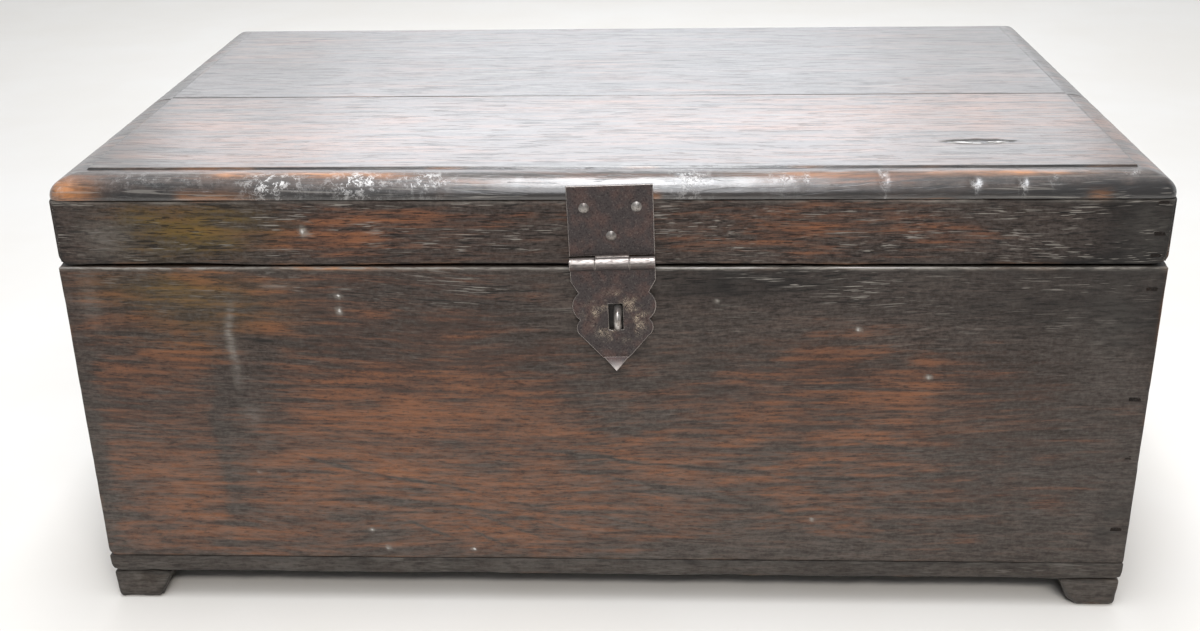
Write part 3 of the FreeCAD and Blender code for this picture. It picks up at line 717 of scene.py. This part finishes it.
# Where open pores, and the silver dashes painted as glints along them, are denser
FRONT_GLINT = [
    (-68, -16, 46, 7, 0.8), (73, -5, 55, 7, 0.8), (130, -9, 30, 10, 0.9), (-119, -19, 34, 9, 0.6),
    (0, -14, 320, 14, 0.35), (230, -22, 60, 16, 0.4),
]
# Dark grain lines: points (x, z), half width and strength
FRONT_LINES = [
    ([(-27, -116), (19, -123), (63, -126), (108, -132), (147, -132)], 1.1, 0.9),
    ([(-16, -129), (33, -139), (83, -149), (108, -158)], 1.0, 0.8),
    ([(124, -133), (177, -131), (216, -127)], 0.9, 0.7),
    ([(241, -126), (291, -127)], 0.9, 0.6), ([(140, -107), (166, -112)], 0.9, 0.7),
    ([(-177, -120), (-148, -129), (-110, -136), (-76, -144)], 1.1, 0.8),
    ([(-76, -158), (-37, -175)], 0.9, 0.7), ([(-89, -165), (-61, -180)], 0.9, 0.7),
    ([(-121, -162), (-91, -176)], 0.9, 0.6),
    ([(-150, -148), (-110, -150), (-60, -157), (-20, -169)], 0.9, 0.5),
    ([(-140, -140), (-80, -146), (0, -160), (30, -168)], 1.0, 0.45),
    ([(-288, -40), (-216, -42), (-161, -49)], 0.9, 0.6),
]
# A pale drip, with points (z, x), and the left edge of a dark stain, as heights z and their x
DRIP = [([(-88, -212.5), (-60, -212), (-52, -213), (-36, -213), (-22, -210.5)], 2.4, 0.6)]
STAIN_EDGE = ((-170, -163, -147, -113, -95, -70), (-230, -229.4, -226.3, -227.4, -230.6, -220))
# Spots of the rail, and the height of its upper edge over the seam
RAIL_OLIVE = [
    (-229, 20, 34, 22, 1.1), (-262, 30, 22, 8, 0.6), (-258, 12, 26, 10, 0.5), (-198, 28, 20, 8, 0.4),
]
RAIL_WARM = [(-226, 20, 18, 7, 0.7), (-130, 18, 60, 14, 0.6), (110, 22, 110, 12, 0.4)]
RAIL_DARK = [
    (-280, 18, 18, 18, 0.5), (-302, 18, 7, 30, 0.4), (-28, 15, 9, 16, 0.5), (288, 18, 24, 30, 0.45),
]
RAIL_DUST = [(-276, 18, 14, 12, 0.3), (292, 22, 14, 18, 0.15), (-165, 21, 1.4, 2.6, 1.6)]
RAIL_EDGE = 38.5
# Share of the grime under the chest that is also inside
INSIDE_SHARE = 0.3


def hold_tone(masks):
    """Keeps the warm and dark masks in their range."""
    for mask in masks["tone"][:2]:
        np.clip(mask, 0, TONE_TOP, out=mask)


def front_marks(flat, masks):
    """Stains, painted shade on the upper front and painted shadow in the hasp's slot, a pale drip, dark
    grain lines, and a rubbed upper edge lightened further as a painted highlight on the front board.
    """
    x, z = flat[:, 0], flat[:, 2] - SEAM_Z
    warm, dark, dust = masks["tone"]
    ragged = ragged_share(flat, 0.7, (16, 30, 6), 31)
    warm += ragged * spots(x, z, FRONT_WARM) - 0.15
    warm += 0.35 * smooth(-90, -140, z) * (1 - smooth(-60, 200, x))
    warm -= spots(x, z, FRONT_COOL)
    # Besides the stains, this darkens the upper front right of the middle as painted shade
    dark += ragged * spots(x, z, FRONT_DARK) + 0.55 * smooth(-70, -20, z) * smooth(-90, 10, x)
    dark += strokes(x, z, FRONT_LINES, 1.6 * rough_noise(flat, (22, 22, 60), 32)) * ragged
    side = x - np.interp(z, *STAIN_EDGE) + 2.0 * rough_noise(flat, (60, 60, 14), 33)
    stain = smooth(-5, 4, side) * np.exp(-np.maximum(side, 0) / 17)
    stain = stain * smooth(-176, -150, z) * (1 - smooth(-80, -58, z))
    dark += 0.5 * stain + 0.15 * smooth(170, 290, x)
    warm -= 0.25 * stain
    uneven = ragged_share(flat, 0.9, (7, 7, 12), 34)
    dust += uneven * strokes(z, x, DRIP, 1.2 * rough_noise(flat, (60, 60, 16), 35)) * smooth(-90, -50, z)
    dust += spots(x, z, FRONT_DUST) + 0.04 + 0.17 * smooth(-50, -140, z) * (1 - 0.4 * smooth(110, 250, x))
    # A pale line along the top arris: rubbed wood and dust, and painted highlight where the arris catches
    # the light
    arris = np.exp(-((np.hypot(flat[:, 1] - FRONT_Y, z) / 1.3) ** 2))
    dust += arris * np.clip(1.2 + 1.2 * rough_noise(flat, 34, 36), 0.1, 1.9)
    masks["mark"][1] += arris * smooth(0.1, 0.5, noise(flat, 50, 37))
    masks["mark"][0] += spots(x, z, FRONT_GREEN)
    masks["spark"][0] += spots(x, z, FRONT_GLINT) - 0.1
    hold_tone(masks)


def rail_marks(flat, masks):
    """An olive stain, dusty grey ends, painted shade along the lower edge, and many open pores with painted
    glints on the lid's front rail.
    """
    x, z = flat[:, 0], flat[:, 2] - SEAM_Z
    warm, dark, dust = masks["tone"]
    ragged = ragged_share(flat, 0.8, (16, 20, 7), 41)
    masks["mark"][0] += np.clip(ragged * spots(x, z, RAIL_OLIVE), 0, 1)
    warm += ragged * spots(x, z, RAIL_WARM)
    dark += ragged * spots(x, z, RAIL_DARK)
    # Darker towards the lower edge, as painted shade along the gap to the body, and darker towards the right
    # end
    dark += 0.15 + 0.35 * np.exp(-z / 4.0) + 0.6 * smooth(150, 300, x)
    warm -= 0.27 + 0.2 * smooth(180, 300, x)
    dust += ragged * spots(x, z, RAIL_DUST)
    high_edge = np.exp(-((np.hypot(flat[:, 1] - FRONT_Y, z - RAIL_EDGE) / 1.2) ** 2))
    dust += high_edge * np.clip(0.3 + 1.2 * rough_noise(flat, 30, 42), 0, 1.3)
    # More open pores, and more silver dashes painted as glints
    masks["spark"][0] += 0.5
    hold_tone(masks)


def under_marks(flat, masks):
    """Darker, dusty wood near the floor, and less of both inside the chest."""
    warm, dark, dust = masks["tone"]
    inside = (flat[:, 2] > FRONT_LOW[2] - 0.01) & (flat[:, 1] > FRONT_HIGH[1])
    share = np.where(inside, INSIDE_SHARE, 1.0)
    warm -= 0.5 * share
    dark += share * (0.55 + 0.2 * rough_noise(flat, (30, 30, 6), 45))
    dust += share * 0.18 * (1 + rough_noise(flat, (20, 20, 8), 46))
    masks["mark"][0] += 0.12 * share


# Feet

FOOT_LENGTH, FOOT_DEPTH, FOOT_TAPER = 36.0, 46.0, 8.5
FOOT_STEP, FOOT_UPPER_ROUND = 1.4, 1.6


def foot_piece(end, side, lower_round, shift):
    """A block foot whose inner faces slope in towards the floor, with worn lower edges."""
    node = f"foot_{end}_{side}"
    low, high = box_mm(node)
    outer = np.array([low[0] if side == "left" else high[0], low[1] if end == "front" else high[1]])
    flat, faces = shell(*[lines(low[k], high[k], FOOT_STEP) for k in range(3)])
    drop = (high[2] - flat[:, 2]) / (high[2] - low[2])
    wander = 1 + 0.45 * rough_noise(flat, (14, 14, 9), 3)
    radius = (FOOT_UPPER_ROUND + (lower_round - FOOT_UPPER_ROUND) * smooth(0.2, 0.8, drop)) * wander
    points = rounded(flat, low, high, radius)
    shrink = 1 - drop[:, None] * FOOT_TAPER / np.array([FOOT_LENGTH, FOOT_DEPTH])
    points[:, :2] = outer + (points[:, :2] - outer) * shrink
    dent = 0.25 + 0.25 * rough_noise(flat, (12, 12, 7), 9)
    middle = (low + high) / 2
    points[:, :2] -= np.sign(points[:, :2] - middle[:2]) * dent[:, None]
    masks = wood_masks(flat, edge_distance(flat, low, high), np.ones(len(flat)))
    under_marks(flat, masks)
    masks["tone"][2] += 0.25 * np.maximum(0, rough_noise(flat, (10, 10, 8), 47))
    masks["mark"][0] += 0.35 * smooth(0, 0.5, rough_noise(flat, (22, 22, 14), 48))
    add_piece(node, "chest_body", points, faces, masks, teak("teak_" + node, "X", shift))


# The lid's top

# The thumb moulding: its width, the heights of its foot and of the step behind it, the power of its
# curve, and the radius of the lid's corners, in mm
MOULD_WIDTH, MOULD_FOOT, MOULD_STEP, MOULD_POWER, CORNER = 18.0, 1.0, 1.0, 2.3, 7.0
# Where the step rises, and extra grid lines across the moulding, in mm from the outer edge
STEP_START, STEP_END = 17.75, 18.55
MOULD_FAN = [0.02, 0.06, 0.15, 0.40, 0.8, *range(11, 18), 17.6, 17.9, 18.1, 18.4, 18.8, 19.4, 20.4]
# Grid steps along x and y, and grid lines as shares of the thickness
TOP_STEPS, TOP_SHARES = (1.7, 2.4), np.array([0, 0.07, 0.3, 1])
# How far the lower edge is worn back
UNDERCUT = 0.9
TOP_POLISH = dict(squeeze=(0.45, 0.5), rough=0.33, relief=0.85, coat=0.6, specular=0.5)

# Spots of the front plank: x, distance in from the front edge, radii and strength, in mm
SCUFFS = [
    (-180, 6, 13, 6, 1.0), (-134, 6, 13, 6, 0.9), (-97, 7, 12, 5, 0.8), (47, 8, 9, 8, 0.8),
    (-262, 8, 16, 6, 0.2), (-225, 8, 20, 5, 0.15), (109, 8, 1.4, 5, 0.6), (150, 9, 2.0, 9, 0.5),
    (198, 3, 2.2, 2.4, 0.7), (223, 3, 1.8, 2.4, 0.6), (240, 6, 2, 3, 0.5), (283, 11, 4, 2.5, 0.5),
    (-300, 8, 8, 7, 0.3), (95, 7, 10, 5, 0.3),
]
MOULD_BARE = [
    (-294, 3, 13, 5, 1.0), (-205, 11, 11, 3, 0.9), (-160, 11, 30, 2.5, 0.8), (-125, 10, 24, 2.5, 0.7),
    (115, 10, 24, 2.2, 0.8), (215, 11, 44, 2.2, 0.9),
]
MOULD_DARK = [(276, 5, 30, 8, 0.7), (-240, 3.6, 46, 1.0, 0.6), (-262, 9, 30, 6, 0.25)]
TOP_WARM = [
    (-236, 106, 26, 18, 0.5), (-116, 22, 14, 3, 0.6), (222, 107, 12, 28, 0.4), (150, 115, 120, 38, 0.5),
    (-200, 60, 70, 40, 0.35), (-125, 115, 20, 15, 0.4), (20, 45, 90, 50, -0.3),
]
TOP_DARK = [(50, 139, 16, 10, 0.35), (-250, 60, 40, 60, 0.2)]
NICKS = [(198, 4, 2.2, 2.6, 1.2), (223, 4, 2.0, 2.6, 1.1), (150, 9, 1.6, 6, 0.7)]
SCUFF_END = 17.5
# One gouge: x, distance in from the front edge, half length and half width, and grid lines across it
GOUGE_X, GOUGE_IN, GOUGE_LENGTH, GOUGE_WIDTH = 211.3, 62.4, 23.0, 4.6
GOUGE_LINES = np.arange(-4, 4.1, 0.8)
# Marks of the back plank: x, distance in from the front board's face
PALE_STREAK = [([(-134, 192), (-110, 206), (-88, 226), (-56, 231)], 2.2, 0.5)]
KNOTS = [(-208, 172, 20, 3, 0.8), (-204, 296, 8, 3, 0.7), (237, 232, 7, 7, 0.7), (60, 300, 60, 14, 0.3)]


def top_grid(low, high, outer_y, side):
    """Grid lines of a top plank, closer across the moulding and the front plank's gouge."""
    columns = [low[0] + f for f in MOULD_FAN] + [high[0] - f for f in MOULD_FAN]
    rows = [outer_y + side * f for f in MOULD_FAN]
    if side > 0:
        rows += [outer_y + GOUGE_IN + d for d in GOUGE_LINES]
    xs = lines(low[0], high[0], TOP_STEPS[0], columns)
    ys = lines(low[1], high[1], TOP_STEPS[1], rows)
    return xs, ys, low[2] + (high[2] - low[2]) * TOP_SHARES


def top_height(flat, thick, edge, seam):
    """Height of a worn plank over its underside, from the distances to its edge and seam."""
    share = np.clip((MOULD_WIDTH - edge) / MOULD_WIDTH, 0, 1)
    height = MOULD_FOOT + (thick - MOULD_STEP - MOULD_FOOT) * np.sqrt(1 - share**MOULD_POWER)
    lip = 0.25 * rough_noise(flat, 40, 52)
    height += MOULD_STEP * smooth(STEP_START + lip, STEP_END + lip, edge)
    height -= (0.35 + 0.3 * rough_noise(flat * (1, 0, 0), (40, 1, 1), 65)) * np.exp(-seam / 0.45)
    height -= 0.03 * rough_noise(flat, (90, 40, 90), 53)
    height -= 0.3 * np.maximum(0, noise(flat, (14, 7, 9), 54)) * (edge < 17)
    return height


def top_masks(flat, edge):
    """Everyday masks, with painted shade in a line at the moulding's step and on the moulding's lower outer
    edge, and pores with painted glints.
    """
    masks = wood_masks(flat, np.minimum(edge, np.abs(edge - MOULD_WIDTH)), np.ones(len(flat)))
    broken = np.clip(0.75 + 0.8 * rough_noise(flat, 34, 56), 0.5, 1.1)
    # Painted shade in the step behind the moulding, broken along its length
    masks["tone"][1] += broken * np.exp(-(((edge - MOULD_WIDTH + 0.1) / 0.4) ** 2))
    # Painted shade on the lower outer edge of the moulding, which faces away from the light above
    masks["tone"][1] += 0.55 * (1 - smooth(0.6, 4.5, edge))
    masks["spark"][0][:] = 0.45
    return masks


def top_piece(node, side, marks, shift):
    """A plank of the lid's top, with the thumb moulding on its three outer sides.

    side is the sign of y from the outer edge to the seam. marks(points, reach, masks) adds the plank's
    stains and returns how deep they cut; reach is the distance in from the outer edge.
    """
    low, high = box_mm(node)
    thick = high[2] - low[2]
    outer_y = face_level(low, high, 1, -side)
    flat, faces = shell(*top_grid(low, high, outer_y, side), (2, -1))
    reach = side * (flat[:, 1] - outer_y)
    edge = np.minimum(np.minimum(flat[:, 0] - low[0], high[0] - flat[:, 0]), reach)
    height = top_height(flat, thick, edge, np.abs(flat[:, 1] - face_level(low, high, 1, side)))
    masks = top_masks(flat, edge)
    height -= marks(flat, reach, masks)
    points = flat.copy()
    points[:, 2] = low[2] + (flat[:, 2] - low[2]) / thick * height
    for end in (-1, 1):
        round_edge(points, (0, face_level(low, high, 0, end), end), (1, outer_y, -side), CORNER)
    inset = 0.35 * np.maximum(0, rough_noise(flat, (26, 26, 9), 55)) * np.exp(-edge / 3)
    under = UNDERCUT * (flat[:, 2] < low[2] + 0.1) * np.exp(-edge / 2)
    points[:, 1] += side * (inset + under)
    add_piece(node, "lid", points, faces, masks, teak("teak_" + node, "X", shift, **TOP_POLISH))


def front_top_marks(flat, reach, masks):
    """Scuffs and bare wood on the front moulding, and one old gouge, half filled with dust."""
    x = flat[:, 0]
    warm, dark, dust = masks["tone"]
    _, bare, scuff = masks["mark"]
    ragged = ragged_share(flat, 0.9, (9, 4, 9), 61)
    scuff += np.clip(ragged * spots(x, reach, SCUFFS) * (reach < SCUFF_END), 0, 1.2)
    bare += np.clip(ragged * spots(x, reach, MOULD_BARE), 0, 1)
    dark += ragged * spots(x, reach, MOULD_DARK)
    lens = ((x - GOUGE_X) / GOUGE_LENGTH) ** 2 + ((reach - GOUGE_IN) / GOUGE_WIDTH) ** 2
    gouge = 1 - smooth(0.5, 1.1, lens + 0.4 * rough_noise(flat, (6, 2, 6), 62))
    filled = smooth(0.0, 0.3, rough_noise(flat, (7, 2.5, 7), 64)) * (1 - smooth(0.2, 0.7, lens))
    dark += 1.3 * gouge * (1 - filled)
    dust += 1.9 * gouge * filled
    warm += spots(x, reach, TOP_WARM)
    dark += 0.1 + spots(x, reach, TOP_DARK)
    dents = 0.35 * scuff * np.maximum(0, rough_noise(flat, (5, 3, 9), 51))
    return 0.8 * gouge * (1 - 0.7 * filled) + spots(x, reach, NICKS) + dents


def back_top_marks(flat, reach, masks):
    """The back plank is greyer, with a pale streak, three knots and a dark patch, and isn't cut."""
    x, from_front = flat[:, 0], flat[:, 1] - FRONT_Y
    warm, dark, dust = masks["tone"]
    warm -= 0.25
    dark += 0.15
    dust += strokes(x, from_front, PALE_STREAK, 1.5 * rough_noise(flat, 30, 63))
    dark += spots(x, from_front, KNOTS)
    return np.zeros(len(reach))


# The wooden pieces

FRONT, BACK, LEFT, RIGHT, UNDER = (1, -1), (1, 1), (0, -1), (0, 1), (2, -1)
BODY_X = dict(body="chest_body", along="X")
BODY_Y = dict(body="chest_body", along="Y", steps=(3.0, 2.0), rounds=(1.8, 0.5))
PLANK = dict(
    **BODY_X, steps=(3.0, 3.0), outer=UNDER, rounds=(3.0, 0.9), marks=under_marks,
    pits=[(*UNDER, "bottom_nails")], ends=[(-1, 5.5, 0), (1, 4.0, 0)],
)
RAIL_X = dict(body="lid", along="X", ends=[(-1, 6.0, 4.5), (1, 6.0, 4.5)])
RAIL_Y = dict(body="lid", along="Y", steps=(2.5, 2.0), rounds=(1.8, 0.5))
BOARDS = [
    dict(node="front_board", **BODY_X, steps=(1.7, 1.4), outer=FRONT, rounds=(1.7, 0.5), marks=front_marks,
         pits=[(*FRONT, "body_nails_front")], waves=[(1, 0.4)], ends=[(-1, 5.0, 0)]),
    dict(node="back_board", **BODY_X, steps=(4.0, 3.0), outer=BACK, rounds=(2.0, 0.5),
         pits=[(*BACK, "body_nails_back")], waves=[(1, 0.4)]),
    dict(node="left_end_board", **BODY_Y, outer=LEFT),
    dict(node="right_end_board", **BODY_Y, outer=RIGHT),
    dict(node="bottom_plank_front", **PLANK, waves=[(-1, 1.0)]),
    dict(node="bottom_plank_back", **PLANK, waves=[(-1, 0.8)]),
    dict(node="lid_front_rail", **RAIL_X, steps=(1.6, 1.3), outer=FRONT, rounds=(1.5, 0.5), marks=rail_marks,
         pits=[(*FRONT, "lid_nails_front")], waves=[(-1, 1.7), (1, 0.9)]),
    dict(node="lid_back_rail", **RAIL_X, steps=(3.5, 2.5), outer=BACK, rounds=(1.8, 0.5),
         pits=[(*BACK, "lid_nails_back")], waves=[(-1, 0.6)]),
    dict(node="lid_left_rail", **RAIL_Y, outer=LEFT, ends=[(-1, 6.0, 0)]),
    dict(node="lid_right_rail", **RAIL_Y, outer=RIGHT, ends=[(1, 6.0, 0)]),
]
# End and side of each foot, and the radius of its lower edges in mm
FEET = [("front", "left", 4.2), ("front", "right", 5.4), ("back", "left", 4.0), ("back", "right", 3.6)]

# The grain's pattern is shifted from piece to piece, in metres
for index, row in enumerate(BOARDS):
    board_piece(**row, shift=(0.37 * index, 0.053 * index, 0.071 * index))
for index, (end, side, lower_round) in enumerate(FEET):
    foot_piece(end, side, lower_round, (0.29 * index, 0.41, 0.083 * index))
top_piece("lid_top_plank_front", 1, front_top_marks, (0.2, 0.9, 0.3))
top_piece("lid_top_plank_back", -1, back_top_marks, (3.1, 0.2, 0.5))


# The iron pieces and the pegs, which keep their solids


def dress(nodes, material):
    """Gives CAD nodes a material."""
    for node in nodes:
        NODES[node].data.materials.clear()
        NODES[node].data.materials.append(material)


# Points on the pins, in metres, and the flap's slot and bend, which lie under the hasp's pin
HASP_PIN, HINGE_PIN = JOINTS["hasp_swing"]["pos_m"], JOINTS["lid_hinge"]["pos_m"]
HASP_TILT = JOINTS["hasp_swing"]["axis"][2] / JOINTS["hasp_swing"]["axis"][0]
FLAP_SLOT = (HASP_PIN[0] + 0.0016, HASP_PIN[1], HASP_PIN[2] - 0.0325)
FLAP_BEND = HASP_PIN[2] - 0.0574

HINGE_LEAVES = [f"hinge_{side}_{part}_leaf" for side in ("left", "right") for part in ("lid", "body")]
PINS = ["hasp_pin", "hinge_left_pin", "hinge_right_pin"]
DOME_NAILS = ["hasp_nails", "hinge_nails_lid", "hinge_nails_body"]
SUNK_NAILS = [f"{part}_nails_{end}" for part in ("body", "lid") for end in ("front", "back")]
SUNK_NAILS += ["bottom_nails", "foot_nails"]

dress(["hasp_leaf"], plate_iron("hasp_iron", HASP_PIN, HASP_TILT))
dress(["hasp_flap"], plate_iron("flap_iron", HASP_PIN, HASP_TILT, FLAP_SLOT, FLAP_BEND))
dress(HINGE_LEAVES, plate_iron("hinge_iron", HINGE_PIN, 0.0))
dress(PINS, iron("pin_iron", rgb(0.30, 0.27, 0.25), rgb(0.16, 0.13, 0.115), 0.35))
dress(DOME_NAILS, iron("dome_nail_iron", rgb(0.32, 0.30, 0.28), rgb(0.18, 0.155, 0.14), 0.38))
dress(SUNK_NAILS, iron("sunk_nail_iron", rgb(0.026, 0.022, 0.020), rgb(0.045, 0.030, 0.024), 0.65))
dress(["staple"], iron("staple_steel", rgb(0.50, 0.48, 0.46), rgb(0.30, 0.26, 0.23), 0.3))
dress(["lid_pegs"], teak("teak_pegs", "X", (1.0, 2.0, 3.0)))


# Camera, floor and light

FLOOR_HALF = 6
FLOOR_DARK, FLOOR_LIGHT = rgb(0.717, 0.694, 0.658), rgb(0.746, 0.731, 0.707)
# Strength of the surroundings as a light from the side and from above, and in reflections of the
# room in front and behind
SOFT_LOW, SOFT_HIGH, FRONT_ROOM, BACK_ROOM = 0.08, 0.90, 0.35, 0.9
WORLD_TINT = rgb(0.96, 0.98, 1.0)
# Lamps: name, place, target and size in metres, watts, colour, whether mirrored, and shape
LAMPS = [
    ("back_panel", (-0.04, 1.45, 1.05), (-0.04, 0, 0.25), (1.7, 0.8), 6.1, (0.93, 0.95, 1)),
    ("core_panel", (-0.06, 1.45, 0.78), (-0.06, 0, 0.25), (1.05, 0.55), 1.2, (0.88, 0.93, 1),
     True, "ELLIPSE"),
    ("strip_panel", (-0.015, -0.27, 1.75), (-0.015, -0.27, 0), (0.42, 1.45), 23.5, (0.95, 0.97, 1)),
    ("fore_panel", (-0.015, -1.35, 1.30), (-0.015, -0.19, 0.26), (0.5, 1.0), 7.2, (0.96, 0.97, 1)),
    ("front_panel", (0.3, -1.6, 1.3), (0, -0.2, 0.1), (0.8, 0.2), 17.2, (1, 0.95, 0.89), False),
    ("far_panel", (0, 2.3, 1.6), (0, 2.3, 0), (3.4, 1.2), 20.0, (1, 1, 1), False),
]


def add_camera():
    """The photograph's camera."""
    data = bpy.data.cameras.new("camera")
    data.sensor_width = SENSOR_MM
    data.lens = FOCAL_PX * SENSOR_MM / FRAME_WIDTH_PX
    camera = add_object("camera", data)
    place = Vector((CAMERA_OFFSET[0], FRONT_Y + CAMERA_OFFSET[1], SEAM_Z + CAMERA_OFFSET[2])) / MM
    turned = Matrix.Translation(place)
    for angle, axis in ((-YAW, "Z"), (90 - PITCH, "X"), (-ROLL, "Z")):
        turned = turned @ Matrix.Rotation(math.radians(angle), 4, axis)
    camera.matrix_world = turned
    bpy.context.scene.camera = camera


def add_panel(name, place, target, size, watts, colour, mirrored=True, shape="RECTANGLE"):
    """A soft flat lamp that faces a target, and may be kept out of reflections."""
    data = bpy.data.lights.new(name, "AREA")
    data.shape = shape
    data.size, data.size_y = size
    data.energy = watts
    data.color = colour
    lamp = add_object(name, data)
    lamp.location = place
    lamp.rotation_euler = (Vector(target) - Vector(place)).to_track_quat("-Z", "Y").to_euler()
    lamp.visible_camera = False
    lamp.visible_glossy = mirrored


def add_floor():
    """A wide pale floor, faintly uneven in tone."""
    mesh = bpy.data.meshes.new("floor")
    h = FLOOR_HALF
    mesh.from_pydata([(-h, -h, 0), (h, -h, 0), (h, h, 0), (-h, h, 0)], [], [(0, 1, 2, 3)])
    floor = add_object("floor", mesh)
    g = Graph.new("pale_floor")
    tint = g.mix(g.ramp(g.lumps(g.place(), 3.0, 4.0, 0.6), 0.3, 0.7), FLOOR_DARK, FLOOR_LIGHT)
    floor.data.materials.append(g.finish({"Base Color": tint, "Roughness": 0.6}))


def add_world():
    """White surroundings that give light mostly from above, and look dimmer in reflections."""
    world = bpy.data.worlds.new("studio")
    bpy.context.scene.world = world
    world.use_nodes = True
    g = Graph(world.node_tree)
    path = g.node("LightPath", {}).outputs
    seen = path["Is Camera Ray"]
    _, behind, above = g.axes(g.node("TexCoord", {}).outputs["Generated"])[:3]
    mirrored = g.ramp(behind, -0.35, 0.35, FRONT_ROOM, BACK_ROOM)
    soft = g.ramp(above, 0.45, 1.0, SOFT_LOW, SOFT_HIGH)
    strength = g.total((soft, g.math("SUBTRACT", 1.0, seen)), (seen, 1.0))
    unlike = g.math("MULTIPLY", path["Is Glossy Ray"], g.math("SUBTRACT", mirrored, soft))
    light = g.node("Background", {0: WORLD_TINT, 1: g.math("ADD", strength, unlike)})
    g.node("OutputWorld", {0: light.outputs[0]})


add_camera()
add_floor()
add_world()
for lamp in LAMPS:
    add_panel(*lamp)
bpy.context.scene.view_settings.view_transform = "Standard"
